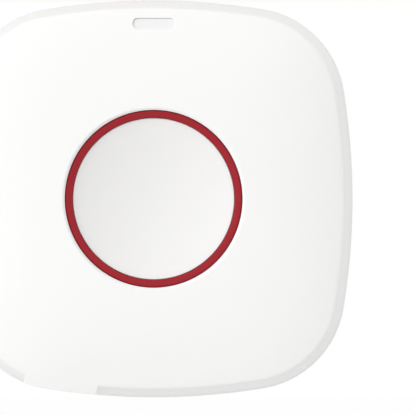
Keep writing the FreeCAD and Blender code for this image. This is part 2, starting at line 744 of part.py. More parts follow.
def battery_holder():
    """Cradle round the cell, open at one side and held to the board."""
    inner = CELL_RADIUS + HOLDER_FIT
    outer = inner + HOLDER_WALL
    base = tube(outer, HOLDER_HOLE_RADIUS, BOARD_BACK - HOLDER_BASE, BOARD_BACK)
    wall = tube(outer, inner, BOARD_BACK - HOLDER_HEIGHT, BOARD_BACK - HOLDER_BASE / 2)
    half = math.radians(HOLDER_MOUTH_DEG / 2)
    reach = 2 * outer
    corners = [
        vec(0, 0),
        vec(reach * math.cos(half), reach * math.sin(half)),
        vec(reach * math.cos(half), -reach * math.sin(half)),
    ]
    wedge = Part.Face(Part.makePolygon(corners + corners[:1]))
    wedge.translate(vec(0, 0, BOARD_BACK - HOLDER_HEIGHT - OVERCUT))
    mouth = wedge.extrude(vec(0, 0, HOLDER_HEIGHT + OVERCUT - HOLDER_BASE))
    return fuse_all([base, wall.cut(mouth)])


def side_contact():
    """Curved leaf against the cell's rim, with a foot on the board."""
    inner = CELL_RADIUS + HOLDER_FIT / 2
    half = math.radians(LEAF_ARC_DEG / 2)
    base = BOARD_BACK - HOLDER_BASE
    leaf = tube(inner + LEAF_THICKNESS, inner, base - LEAF_HEIGHT, base)
    reach = 2 * inner
    corners = [vec(0, 0), vec(reach, reach * math.tan(half)), vec(reach, -reach * math.tan(half))]
    wedge = Part.Face(Part.makePolygon(corners + corners[:1]))
    wedge.translate(vec(0, 0, base - LEAF_HEIGHT - OVERCUT))
    leaf = leaf.common(wedge.extrude(vec(0, 0, LEAF_HEIGHT + 2 * OVERCUT)))
    outer = CELL_RADIUS + HOLDER_FIT + HOLDER_WALL
    strip_length = outer + LEAF_FOOT - inner - LEAF_THICKNESS / 2
    strip_x = inner + LEAF_THICKNESS / 2 + strip_length / 2
    strip_low = base - LEAF_THICKNESS
    strip = block(strip_length, LEAF_WIDTH, strip_low, base, strip_x)
    foot_x = outer + LEAF_FOOT / 2 + LEAF_THICKNESS
    foot = block(LEAF_FOOT - 2 * LEAF_THICKNESS, LEAF_WIDTH, strip_low, BOARD_BACK, foot_x)
    return fuse_all([leaf, strip, foot])


def base_contact():
    """Flat leaf between the cell's raised pole and the board."""
    low = CELL_HIGH + LEAF_GAP
    top = BOARD_BACK
    leaf = block(2 * HOLDER_HOLE_RADIUS - LEAF_WIDTH, LEAF_WIDTH, low, low + LEAF_THICKNESS)
    foot = block(LEAF_WIDTH, LEAF_WIDTH, low, top)
    return fuse_all([leaf, foot])


def tamper_base():
    """Body of the cover switch on the wall side of the board."""
    low = BOARD_BACK - TAMPER_HEIGHT
    roof = BOARD_BACK - TAMPER_WALL
    body = block(TAMPER_SIDE, TAMPER_SIDE, low, BOARD_BACK, TAMPER_X, TAMPER_Y)
    room = cylinder(TAMPER_FLANGE_RADIUS + TAMPER_PLAY, low + TAMPER_WALL, roof, TAMPER_X, TAMPER_Y)
    bore = cylinder(TAMPER_PIN_RADIUS + TAMPER_PLAY, low - OVERCUT, roof, TAMPER_X, TAMPER_Y)
    return body.cut(room).cut(bore)


def tamper_plunger():
    """Pin that the rear panel's post holds in, and that comes out as the cover opens."""
    low = BOARD_BACK - TAMPER_HEIGHT - TAMPER_PROUD
    flange_low = BOARD_BACK - TAMPER_HEIGHT + TAMPER_WALL + TAMPER_REST_GAP + TAMPER_TRAVEL
    flange = cylinder(TAMPER_FLANGE_RADIUS, flange_low, flange_low + TAMPER_FLANGE, TAMPER_X, TAMPER_Y)
    pin = cylinder(TAMPER_PIN_RADIUS, low, flange_low + TAMPER_FLANGE, TAMPER_X, TAMPER_Y)
    return flange.fuse(pin).removeSplitter()


def chip(size, place):
    """Low moulded package with bevelled upper edges, on the front of the board."""
    body = block(size[0], size[1], BOARD_FRONT, BOARD_FRONT + size[2], place[0], place[1])
    top = [edge for edge in body.Edges if edge.BoundBox.ZMin > BOARD_FRONT + size[2] / 2]
    return body.makeChamfer(CHIP_CHAMFER, top)


def chip_row(size, start, count, pitch):
    """Row of like packages up the board."""
    return Part.makeCompound([chip(size, (start[0], start[1] + k * pitch)) for k in range(count)])


def capacitors():
    """Capacitors by the board's left edge."""
    start = (CAPACITOR_FROM_EDGE - BOARD_REACH, CAPACITOR_START_Y)
    return chip_row(CAPACITOR_SIZE, start, CAPACITOR_COUNT, CAPACITOR_PITCH)


def resistors():
    """Resistors by the board's right edge."""
    start = (BOARD_REACH - RESISTOR_FROM_EDGE, RESISTOR_START_Y)
    return chip_row(RESISTOR_SIZE, start, RESISTOR_COUNT, RESISTOR_PITCH)


def radio_shield():
    """Folded sheet can over the radio, with vent holes."""
    length, width, height = SHIELD_SIZE
    x, y = from_lower_screw(1, SHIELD_FROM_SCREW)
    top = BOARD_FRONT + height
    can = block(length, width, BOARD_FRONT, top, x, y)
    inner_length = length - 2 * SHIELD_WALL
    inner_width = width - 2 * SHIELD_WALL
    room = block(inner_length, inner_width, BOARD_FRONT - OVERCUT, top - SHIELD_WALL, x, y)
    can = can.cut(room)
    for k in (-1, 0, 1):
        vent_x = x + k * SHIELD_VENT_PITCH
        vent = cylinder(SHIELD_VENT_RADIUS, BOARD_FRONT + height / 2, top + OVERCUT, vent_x, y)
        can = can.cut(vent)
    return can


def antenna_strip():
    """Stamped antenna: a raised strip on two legs."""
    x, y = (0.0, ANTENNA_FROM_EDGE - BOARD_REACH)
    top = BOARD_FRONT + ANTENNA_LIFT
    pieces = [block(ANTENNA_LENGTH, ANTENNA_WIDTH, top - ANTENNA_SHEET, top, x, y)]
    for leg_x in (x - ANTENNA_LENGTH / 2 + ANTENNA_LEG / 2, x):
        leg_y = y - ANTENNA_WIDTH / 2 + ANTENNA_SHEET / 2
        pieces.append(block(ANTENNA_LEG, ANTENNA_SHEET, BOARD_FRONT, top, leg_x, leg_y))
    return fuse_all(pieces)


def nodes():
    """Every piece of the product by its name."""
    return {
        "rear_panel": rear_panel(),
        "front_cover": front_cover(),
        "trim_ring": trim_ring(),
        "button_cap": button_cap(),
        "return_spring": return_spring(),
        "indicator_window": indicator_window(),
        "indicator_lamp": indicator_lamp(),
        "circuit_board": circuit_board(),
        "board_screws": board_screws(),
        "switch_base": switch_base(),
        "switch_cover": switch_cover(),
        "switch_stem": switch_stem(),
        "switch_leads": switch_leads(),
        "coin_cell": coin_cell(),
        "battery_holder": battery_holder(),
        "side_contact": side_contact(),
        "base_contact": base_contact(),
        "tamper_base": tamper_base(),
        "tamper_plunger": tamper_plunger(),
        "radio_shield": radio_shield(),
        "processor_chip": chip(CHIP_SIZE, from_lower_screw(-1, CHIP_FROM_SCREW)),
        "crystal_can": chip(CRYSTAL_SIZE, from_lower_screw(-1, CRYSTAL_FROM_SCREW)),
        "board_capacitors": capacitors(),
        "board_resistors": resistors(),
        "antenna_strip": antenna_strip(),
    }


def main():
    """Turn each piece upright and write it."""
    os.makedirs("parts", exist_ok=True)
    for name, shape in nodes().items():
        upright = shape.copy()
        upright.rotate(vec(0, 0), vec(1, 0, 0), 90)
        upright.exportStep("parts/" + name + ".step")
        box = upright.BoundBox
        print(
            "%-18s solids %d valid %s volume %9.2f  x %6.2f %6.2f  y %6.2f %6.2f  z %6.2f %6.2f"
            % (
                name, len(upright.Solids), upright.isValid(), upright.Volume,
                box.XMin, box.XMax, box.YMin, box.YMax, box.ZMin, box.ZMax,
            )
        )
    print("total depth %.3f, ring outer top %.3f, board back %.3f" % (CROWN_TOP, RING_OUTER_TOP, BOARD_BACK))


main()
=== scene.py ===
import logging
import math
from collections.abc import Sequence
from dataclasses import dataclass
from enum import Enum

import bmesh
import bpy
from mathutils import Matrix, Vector


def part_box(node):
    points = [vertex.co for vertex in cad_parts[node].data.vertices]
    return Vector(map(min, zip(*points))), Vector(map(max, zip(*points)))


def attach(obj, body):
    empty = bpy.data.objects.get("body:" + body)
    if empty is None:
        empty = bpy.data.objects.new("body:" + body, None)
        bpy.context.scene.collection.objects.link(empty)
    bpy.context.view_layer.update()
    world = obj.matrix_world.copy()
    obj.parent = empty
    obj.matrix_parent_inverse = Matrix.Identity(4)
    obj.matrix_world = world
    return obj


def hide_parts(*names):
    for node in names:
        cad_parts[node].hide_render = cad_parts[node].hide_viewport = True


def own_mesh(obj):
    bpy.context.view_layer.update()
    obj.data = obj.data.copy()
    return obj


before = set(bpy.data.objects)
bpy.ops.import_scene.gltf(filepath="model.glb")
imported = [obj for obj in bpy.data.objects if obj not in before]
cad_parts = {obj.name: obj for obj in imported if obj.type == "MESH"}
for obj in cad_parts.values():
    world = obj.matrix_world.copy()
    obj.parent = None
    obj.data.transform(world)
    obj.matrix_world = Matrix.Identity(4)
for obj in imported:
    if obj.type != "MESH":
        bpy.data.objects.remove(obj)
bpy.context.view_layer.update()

# The drawing lies on its back, in millimetres: x to the right, y up the wall, z the height above the wall.
# The frame stands upright, in metres: the wall is the plane y = 0 and the front looks along -Y.
MM = 0.001
LOG = logging.getLogger("panic_button")

FULL_TURN = 2 * math.pi
QUARTER_TURN = math.pi / 2
# How far a cutting solid stands out past what it cuts
OVERCUT = 1.0
# Signs of a rectangle's corners in order round it
AROUND_SIGNS = ((-1, -1), (1, -1), (1, 1), (-1, 1))
# Signs of the four board screws' places, column by column
SCREW_SIGNS = ((-1, -1), (-1, 1), (1, -1), (1, 1))

# Rounds of a repeated estimate and of halving a span, after which the value no longer changes
ESTIMATES = 12
HALVINGS = 40
# Distances in metres under which two points of a mesh become one
SAME_POINT = 1e-8
SAME_CAD_POINT = 1e-6
# Turn between two faces of a CAD mesh up to which they count as one flat face
FLAT_DEG = 0.6
PLAIN_WHITE = (1.0, 1.0, 1.0, 1.0)

Piece = bpy.types.Object
Socket = bpy.types.NodeSocket
Inputs = dict[str | int, object]
Colour = tuple[float, float, float]
Flat = tuple[float, float]


class Texture(Enum):
    """How a surface was worked, as the stretch of its fine pattern along x, y and z."""

    MOULDED = (1.0, 1.0, 1.0)
    BRUSHED = (1.0, 1.0, 22.0)


class Merge(Enum):
    """What a boolean step does with its tools."""

    JOIN = "UNION"
    TAKE = "DIFFERENCE"


def upright(point: Vector) -> Vector:
    """Turn a point of the lying drawing into the frame, in metres."""
    return Vector((point.x, -point.z, point.y)) * MM


def lying_box(node: str) -> tuple[Vector, Vector]:
    """Lowest and highest corner of a CAD node's box in the lying drawing."""
    low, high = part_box(node)
    return Vector((low.x, low.z, -high.y)) / MM, Vector((high.x, high.z, -low.y)) / MM


def polar(angle: float, radius: float = 1.0, height: float = 0.0) -> Vector:
    """Point in a direction, at a distance from the middle and at a height."""
    return Vector((radius * math.cos(angle), radius * math.sin(angle), height))


def across(direction: Vector) -> Vector:
    """A flat direction turned left by a quarter."""
    return Vector((-direction.y, direction.x, 0.0))


def raised(plan: Sequence[Vector], height: float) -> list[Vector]:
    """The points of a plan, all at one height."""
    return [Vector((p.x, p.y, height)) for p in plan]


@dataclass(frozen=True)
class Corner:
    """One corner of a section, rounded where its radius isn't zero."""

    point: Vector
    radius: float = 0.0
    steps: int = 3

    def rounded(self, before: Vector, after: Vector) -> list[Vector]:
        """Replace the corner by an arc tangent to its two sides.

        Args:
            before: The point that the section comes from.
            after: The point that it goes to.

        Returns:
            Points of the arc, or the corner itself.
        """
        if self.radius <= 0.0:
            return [self.point]
        back = (before - self.point).normalized()
        ahead = (after - self.point).normalized()
        half = back.angle(ahead) / 2
        centre = self.point + (back + ahead).normalized() * (self.radius / math.sin(half))
        reach = self.radius / math.tan(half)
        start = self.point + back * reach - centre
        end = self.point + ahead * reach - centre
        sweep = math.pi - 2 * half
        points = []
        for k in range(self.steps + 1):
            share = k / self.steps
            first = math.sin((1 - share) * sweep) / math.sin(sweep)
            second = math.sin(share * sweep) / math.sin(sweep)
            points.append(centre + start * first + end * second)
        return points


def rounded_loop(corners: Sequence[Corner]) -> list[Vector]:
    """Round the corners of a section.

    Args:
        corners: The section's corners in order.

    Returns:
        Points of the rounded section, as many as the radii and steps ask for.
    """
    points: list[Vector] = []
    for k, corner in enumerate(corners):
        after = corners[(k + 1) % len(corners)]
        points += corner.rounded(corners[k - 1].point, after.point)
    return points


def new_object(name: str, mesh: bpy.types.Mesh) -> Piece:
    """Link a new object to the scene.

    Args:
        name: Name of the object.
        mesh: The mesh that it holds.

    Returns:
        The new object.
    """
    piece = bpy.data.objects.new(name, mesh)
    bpy.context.scene.collection.objects.link(piece)
    return piece


def from_faces(name: str, points: Sequence[Vector], faces: Sequence[Sequence[int]]) -> Piece:
    """Build an object from points of the lying drawing, its faces turned outwards.

    Args:
        name: Name of the object.
        points: Corners in millimetres.
        faces: Corner numbers of each face.

    Returns:
        The new object, in the frame.
    """
    mesh = bpy.data.meshes.new(name)
    mesh.from_pydata([upright(p) for p in points], [], faces)
    turned = bmesh.new()
    turned.from_mesh(mesh)
    bmesh.ops.remove_doubles(turned, verts=turned.verts, dist=SAME_POINT)
    bmesh.ops.recalc_face_normals(turned, faces=turned.faces)
    turned.to_mesh(mesh)
    turned.free()
    return new_object(name, mesh)


def loft(name: str, loops: Sequence[Sequence[Vector]], round_trip: bool = False) -> Piece:
    """Join closed loops of equal length into a solid.

    Args:
        name: Name of the object.
        loops: Loops of points in millimetres.
        round_trip: True joins the last loop to the first, False caps both ends.

    Returns:
        The new object.
    """
    size = len(loops[0])
    points = [point for loop in loops for point in loop]
    faces: list[Sequence[int]] = []
    for i in range(len(loops) if round_trip else len(loops) - 1):
        here, there = i * size, (i + 1) % len(loops) * size
        for k in range(size):
            nxt = (k + 1) % size
            faces.append((here + k, here + nxt, there + nxt, there + k))
    if not round_trip:
        faces.append(range(size))
        faces.append(range((len(loops) - 1) * size, len(loops) * size))
    return from_faces(name, points, faces)


def turned_solid(name: str, profile: Sequence[Vector], steps: int, place: Flat = (0.0, 0.0)) -> Piece:
    """Turn a profile that starts and ends on the axis into a solid.

    Args:
        name: Name of the object.
        profile: Points with the radius as x and the height as z, in millimetres.
        steps: Number of divisions round the axis.
        place: x and y of the axis.

    Returns:
        The new object.
    """
    inner = profile[1:-1]
    points = [Vector((*place, p.z)) for p in (profile[0], profile[-1])]
    for i in range(steps):
        angle = FULL_TURN * i / steps
        for p in inner:
            points.append(Vector((place[0] + p.x * math.cos(angle), place[1] + p.x * math.sin(angle), p.z)))
    size = len(inner)
    faces: list[Sequence[int]] = []
    for i in range(steps):
        here, there = 2 + i * size, 2 + (i + 1) % steps * size
        for k in range(size - 1):
            faces.append((here + k, here + k + 1, there + k + 1, there + k))
        faces.append((0, here, there))
        faces.append((1, here + size - 1, there + size - 1))
    return from_faces(name, points, faces)


def applied(piece: Piece) -> Piece:
    """Swap an object's mesh for its modified one and drop the modifiers.

    Args:
        piece: The object.

    Returns:
        The same object.
    """
    depsgraph = bpy.context.evaluated_depsgraph_get()
    depsgraph.update()
    mesh = bpy.data.meshes.new_from_object(piece.evaluated_get(depsgraph))
    piece.modifiers.clear()
    old = piece.data
    piece.data = mesh
    bpy.data.meshes.remove(old)
    mesh.name = piece.name
    return piece


def add_bevel(piece: Piece, width: float, segments: int, limit_deg: float) -> None:
    """Put a bevel on a piece's sharp edges.

    Args:
        piece: The object.
        width: Width of the bevel in metres.
        segments: Its divisions.
        limit_deg: Smallest turn between two faces that gets one.
    """
    edge = piece.modifiers.new("Edges", "BEVEL")
    edge.width = width
    edge.segments = segments
    edge.limit_method = "ANGLE"
    edge.angle_limit = math.radians(limit_deg)


def merged(body: Piece, tools: Sequence[Piece], merge: Merge) -> Piece:
    """Join tools to a body, or take them out of it.

    Args:
        body: The object that stays.
        tools: Closed solids, removed afterwards.
        merge: What is done with them.

    Returns:
        The body with its new mesh.
    """
    for tool in tools:
        step = body.modifiers.new(tool.name, "BOOLEAN")
        step.operation = merge.value
        step.solver = "MANIFOLD"
        step.object = tool
    applied(body)
    for tool in tools:
        bpy.data.meshes.remove(tool.data)
    return body


def smoothed(piece: Piece, crease_deg: float = 32.0) -> Piece:
    """Shade a piece smooth, with sharp edges where its faces turn by more than an angle.

    Args:
        piece: The object.
        crease_deg: The angle.

    Returns:
        The same object.
    """
    shape = bmesh.new()
    shape.from_mesh(piece.data)
    limit = math.radians(crease_deg)
    for face in shape.faces:
        face.smooth = True
    for edge in shape.edges:
        edge.smooth = edge.calc_face_angle(math.pi) < limit
    shape.to_mesh(piece.data)
    shape.free()
    return piece


def refined(name: str, node: str, edge_round: float = 0.0) -> Piece:
    """Copy a CAD node's mesh, merge its loose triangles and round its edges.

    Args:
        name: Name of the copy.
        node: Name of the CAD node.
        edge_round: Width of the rounded edges in millimetres, 0 for none.

    Returns:
        The copy.
    """
    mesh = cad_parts[node].data.copy()
    mesh.name = name
    shape = bmesh.new()
    shape.from_mesh(mesh)
    bmesh.ops.remove_doubles(shape, verts=shape.verts, dist=SAME_CAD_POINT)
    if edge_round > 0.0:
        flat = math.radians(FLAT_DEG)
        bmesh.ops.dissolve_limit(shape, angle_limit=flat, verts=shape.verts, edges=shape.edges)
    shape.to_mesh(mesh)
    shape.free()
    piece = new_object(name, mesh)
    if edge_round > 0.0:
        add_bevel(piece, edge_round * MM, segments=3, limit_deg=35.0)
        applied(piece)
    return piece


@dataclass(frozen=True)
class Wiring:
    """Short way to place and link the nodes of one tree."""

    tree: bpy.types.NodeTree

    def feed(self, node: bpy.types.Node, inputs: Inputs) -> None:
        """Give a node its inputs.

        Args:
            node: The node.
            inputs: A value or an output to link, by the socket's name or number.
        """
        for name, value in inputs.items():
            if isinstance(value, Socket):
                self.tree.links.new(value, node.inputs[name])
            else:
                node.inputs[name].default_value = value

    def node(self, kind: str, inputs: Inputs | None = None, **settings: object) -> bpy.types.Node:
        """Place a node.

        Args:
            kind: The node's type name.
            inputs: A value or an output to link, by the socket's name or number.
            **settings: The node's own settings.

        Returns:
            The new node.
        """
        made = self.tree.nodes.new(kind)
        for name, value in settings.items():
            setattr(made, name, value)
        self.feed(made, inputs or {})
        return made

    def math(self, operation: str, first: object, second: object = 0.0) -> Socket:
        """Place a math node whose operands are sockets or numbers, and return its output."""
        return self.node("ShaderNodeMath", {0: first, 1: second}, operation=operation).outputs[0]

    def object_place(self) -> Socket:
        """Coordinates of the shaded point on its object."""
        return self.node("ShaderNodeTexCoord").outputs["Object"]

    def noise(self, vector: Socket, **inputs: object) -> Socket:
        """Place a noise texture with the inputs given, and return its value."""
        return self.node("ShaderNodeTexNoise", {"Vector": vector, **inputs}).outputs["Fac"]


def new_tree(name: str, kind: str, inputs: dict[str, str], outputs: dict[str, str]) -> Wiring:
    """Start a node group with named sockets.

    Args:
        name: Name of the group.
        kind: Its tree type.
        inputs: The kind of each input by its name.
        outputs: The kind of each output by its name.

    Returns:
        The wiring of the new group.
    """
    tree = bpy.data.node_groups.new(name, kind)
    for in_out, sockets in (("INPUT", inputs), ("OUTPUT", outputs)):
        for label, socket in sockets.items():
            tree.interface.new_socket(name=label, in_out=in_out, socket_type=f"NodeSocket{socket}")
    return Wiring(tree)


def worked_surface_group() -> bpy.types.NodeTree:
    """Build, once, the group that gives a surface its fine grain and its soft drift of tone.

    Returns:
        The shader node group.
    """
    name = "Worked surface"
    if name in bpy.data.node_groups:
        return bpy.data.node_groups[name]
    plain = ("Tone Spread", "Drift Scale", "Roughness", "Roughness Spread", "Grain Scale", "Grain Depth")
    inputs = {"Colour": "Color", **dict.fromkeys(plain, "Float"), "Stretch": "Vector"}
    outputs = {"Colour": "Color", "Roughness": "Float", "Normal": "Vector"}
    wiring = new_tree(name, "ShaderNodeTree", inputs, outputs)
    given = wiring.node("NodeGroupInput").outputs
    stretched = {"Vector": wiring.object_place(), "Scale": given["Stretch"]}
    place = wiring.node("ShaderNodeMapping", stretched).outputs["Vector"]
    drift = wiring.noise(place, Scale=given["Drift Scale"], Detail=3.0, Roughness=0.55)
    grain = wiring.noise(place, Scale=given["Grain Scale"], Detail=2.0, Roughness=0.6)

    level = wiring.math("SUBTRACT", 1.0, wiring.math("MULTIPLY", drift, given["Tone Spread"]))
    tone = wiring.node("ShaderNodeVectorMath", {0: given["Colour"], "Scale": level}, operation="SCALE")
    centred = wiring.math("SUBTRACT", grain, 0.5)
    swing = wiring.math("MULTIPLY", centred, given["Roughness Spread"])
    bump = wiring.node("ShaderNodeBump", {"Strength": 1.0, "Height": grain, "Distance": given["Grain Depth"]})
    results = {
        "Colour": tone.outputs["Vector"],
        "Roughness": wiring.math("ADD", given["Roughness"], swing),
        "Normal": bump.outputs["Normal"],
    }
    wiring.node("NodeGroupOutput", results)
    return wiring.tree


@dataclass(frozen=True)
class Finish:
    """One surface finish, whose material is made when it is first asked for."""

    name: str
    colour: Colour
    roughness: float
    texture: Texture = Texture.MOULDED
    tone_spread: float = 0.02
    drift_scale: float = 60.0
    roughness_spread: float = 0.08
    grain_scale: float = 3500.0
    grain_depth: float = 0.000004
    metallic: float = 0.0
    specular: float = 0.5
    transmission: float = 0.0

    def material(self) -> bpy.types.Material:
        """Build the material, or find the one already built.

        Returns:
            The material with its procedural nodes.
        """
        if self.name in bpy.data.materials:
            return bpy.data.materials[self.name]
        made = bpy.data.materials.new(self.name)
        made.use_nodes = True
        wiring = Wiring(made.node_tree)
        values = {
            "Colour": (*self.colour, 1.0),
            "Tone Spread": self.tone_spread,
            "Drift Scale": self.drift_scale,
            "Roughness": self.roughness,
            "Roughness Spread": self.roughness_spread,
            "Grain Scale": self.grain_scale,
            "Grain Depth": self.grain_depth,
            "Stretch": self.texture.value,
        }
        worked = wiring.node("ShaderNodeGroup", values, node_tree=worked_surface_group()).outputs
        surface = {
            "Base Color": self.painted(wiring, worked["Colour"]),
            "Roughness": worked["Roughness"],
            "Normal": worked["Normal"],
            "Metallic": self.metallic,
            "Specular IOR Level": self.specular,
            "Transmission Weight": self.transmission,
        }
        wiring.feed(made.node_tree.nodes["Principled BSDF"], surface)
        return made

    def painted(self, wiring: Wiring, colour: Socket) -> Socket:
        """Return the colour as it is; a patterned finish lays its pattern over it."""
        return colour


@dataclass(frozen=True)
class BoardFinish(Finish):
    """Solder mask whose copper tracks show through as a lighter tone."""

    track_colour: Colour = (0.022, 0.175, 0.07)
    track_pitch: float = 700.0
    track_share: float = 0.4
    covered_share: float = 0.5
    patch_scale: float = 130.0
    bundle_scale: float = 90.0

    def painted(self, wiring: Wiring, colour: Socket) -> Socket:
        """Lay straight and crossing tracks over the mask.

        Args:
            wiring: The material's nodes.
            colour: The plain mask's colour.

        Returns:
            The patterned colour.
        """
        place = wiring.object_place()
        apart = wiring.node("ShaderNodeSeparateXYZ", {"Vector": place}).outputs
        patches = wiring.noise(place, Scale=self.patch_scale, Detail=0.0)
        turned = wiring.math("GREATER_THAN", patches, 0.5)
        runs = {"Factor": turned, "A": apart["X"], "B": apart["Z"]}
        along = wiring.node("ShaderNodeMix", runs, data_type="FLOAT").outputs["Result"]
        counted = wiring.math("MULTIPLY", along, self.track_pitch)
        lines = wiring.math("LESS_THAN", wiring.math("FRACT", counted), self.track_share)
        bundles = wiring.noise(place, Scale=self.bundle_scale, Detail=1.0)
        shown = wiring.math("GREATER_THAN", bundles, self.covered_share)
        mixed = {"Factor": wiring.math("MULTIPLY", lines, shown), "A": colour, "B": (*self.track_colour, 1.0)}
        return wiring.node("ShaderNodeMix", mixed, data_type="RGBA").outputs["Result"]


HOUSING_WHITE = Finish("housing_white", (0.90, 0.898, 0.889), 0.42, tone_spread=0.012, specular=0.2)
BUTTON_WHITE = Finish("button_white", (0.838, 0.836, 0.828), 0.40, tone_spread=0.012, specular=0.25)
PANEL_WHITE = Finish("panel_white", (0.88, 0.88, 0.875), 0.52, tone_spread=0.03, grain_depth=0.00001)
RING_RED = Finish(
    "ring_red", (0.335, 0.006, 0.0145), 0.56, tone_spread=0.08, drift_scale=220.0, specular=0.32
)
WINDOW_MILK = Finish("window_milk", (0.84, 0.845, 0.845), 0.30, tone_spread=0.02, grain_depth=0.000001)
SPRING_STEEL = Finish("spring_steel", (0.50, 0.50, 0.49), 0.30, Texture.BRUSHED, metallic=1.0)
SCREW_STEEL = Finish("screw_steel", (0.56, 0.56, 0.55), 0.34, metallic=1.0, tone_spread=0.12)
RESIN_BLACK = Finish("package_resin", (0.022, 0.022, 0.024), 0.55, roughness_spread=0.2, grain_depth=0.00001)
CERAMIC_TAN = Finish("capacitor_ceramic", (0.42, 0.30, 0.18), 0.50, tone_spread=0.15)
TINNED = Finish("lead_tin", (0.62, 0.62, 0.60), 0.28, metallic=1.0, tone_spread=0.1)
PLATED_BRONZE = Finish("contact_bronze", (0.70, 0.66, 0.50), 0.26, Texture.BRUSHED, metallic=1.0)

CAD_FINISHES: dict[str, Finish] = {
    "indicator_lamp": Finish("lamp_resin", (0.75, 0.78, 0.62), 0.18, tone_spread=0.05, transmission=0.3),
    "circuit_board": BoardFinish("board_mask", (0.012, 0.11, 0.045), 0.42, tone_spread=0.08, specular=0.35),
    "switch_base": Finish("switch_black", (0.03, 0.03, 0.03), 0.50, tone_spread=0.1),
    "switch_cover": Finish("switch_plate", (0.60, 0.60, 0.60), 0.30, Texture.BRUSHED, metallic=1.0),
    "switch_stem": Finish("stem_brown", (0.50, 0.11, 0.07), 0.45, tone_spread=0.05),
    "switch_leads": TINNED,
    "coin_cell": Finish("cell_nickel", (0.66, 0.66, 0.65), 0.20, Texture.BRUSHED, metallic=1.0),
    "battery_holder": Finish("holder_black", (0.03, 0.03, 0.035), 0.55, tone_spread=0.1),
    "side_contact": PLATED_BRONZE,
    "base_contact": PLATED_BRONZE,
    "tamper_base": Finish("tamper_black", (0.035, 0.035, 0.035), 0.50, tone_spread=0.1),
    "tamper_plunger": Finish("pin_ivory", (0.75, 0.74, 0.70), 0.45, tone_spread=0.03),
    "radio_shield": Finish("shield_tin", (0.64, 0.64, 0.63), 0.27, Texture.BRUSHED, metallic=1.0),
    "processor_chip": RESIN_BLACK,
    "crystal_can": Finish("crystal_can", (0.66, 0.66, 0.66), 0.24, Texture.BRUSHED, metallic=1.0),
    "antenna_strip": Finish("antenna_gold", (0.72, 0.60, 0.36), 0.28, Texture.BRUSHED, metallic=1.0),
}


def dressed(piece: Piece, finish: Finish | None, body: str, node: str) -> Piece:
    """Give a finished piece its material and its body, and hide the CAD node that it stands for.

    Args:
        piece: The finished object.
        finish: Its finish, or None where the mesh already has its materials.
        body: Name of the body that it rides on.
        node: Name of the CAD node that it replaces.

    Returns:
        The same object.
    """
    if finish is not None:
        piece.data.materials.clear()
        piece.data.materials.append(finish.material())
    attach(piece, body)
    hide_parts(node)
    return piece


@dataclass(frozen=True)
class Outline:
    """Rounded square of eight tangent arcs, drafted towards the front."""

    half_width: float
    side_radius: float = 126.3
    corner_radius: float = 18.4
    draft_deg: float = 4.7
    tab_draft_deg: float = 0.8
    draft_start: float = 0.8

    def draft_inset(self, height: float, on_tab: bool = False) -> float:
        """How far the side, or the thumb tab's face, has moved in at a height."""
        draft = self.tab_draft_deg if on_tab else self.draft_deg
        return max(0.0, height - self.draft_start) * math.tan(math.radians(draft))

    def at(self, angle: float, inset: float) -> Vector:
        """Point of the outline on a ray from the middle, moved in along the outline's normal.

        Args:
            angle: Direction of the ray, in radians from +x towards +y.
            inset: How far the point is moved in.

        Returns:
            The point, with height 0.
        """
        quarter = round(angle / QUARTER_TURN)
        local = angle - quarter * QUARTER_TURN
        drop = self.side_radius - self.half_width
        span = self.side_radius - self.corner_radius
        centre = (math.sqrt(2 * span**2 - drop**2) - drop) / 2
        share = self.side_radius / span
        tangent = math.atan2(share * centre, share * (centre + drop) - drop)
        if abs(local) <= tangent:
            middle, radius = Vector((-drop, 0.0)), self.side_radius
        else:
            middle, radius = Vector((centre, math.copysign(centre, local))), self.corner_radius
        ray = Vector((math.cos(local), math.sin(local)))
        along = ray.dot(middle)
        turned = ray * (along + math.sqrt(along**2 - middle.length_squared + radius**2))
        turned -= (turned - middle) * (inset / radius)
        for _ in range(quarter % 4):
            turned = Vector((-turned.y, turned.x))
        return turned.to_3d()

    def lower_angle(self, x: float) -> float:
        """Direction in which the lower left part of the outline has a given x, by halving.

        Args:
            x: The wanted coordinate, below zero.

        Returns:
            The angle in radians.
        """
        low, high = math.pi, 1.5 * math.pi
        for _ in range(HALVINGS):
            middle = (low + high) / 2
            if self.at(middle, 0.0).x < x:
                low = middle
            else:
                high = middle
        return low


@dataclass(frozen=True)
class Crown:
    """Pillow of the front skin, whose height falls with the fourth power of x and of y."""

    top: float
    drop: float = 4.0
    span: float = 37.5

    def over(self, point: Vector, depth: float = 0.0) -> Vector:
        """The point lifted to the skin, or to a depth under it."""
        fall = (point.x / self.span) ** 4 + (point.y / self.span) ** 4
        return Vector((point.x, point.y, self.top - self.drop * fall - depth))


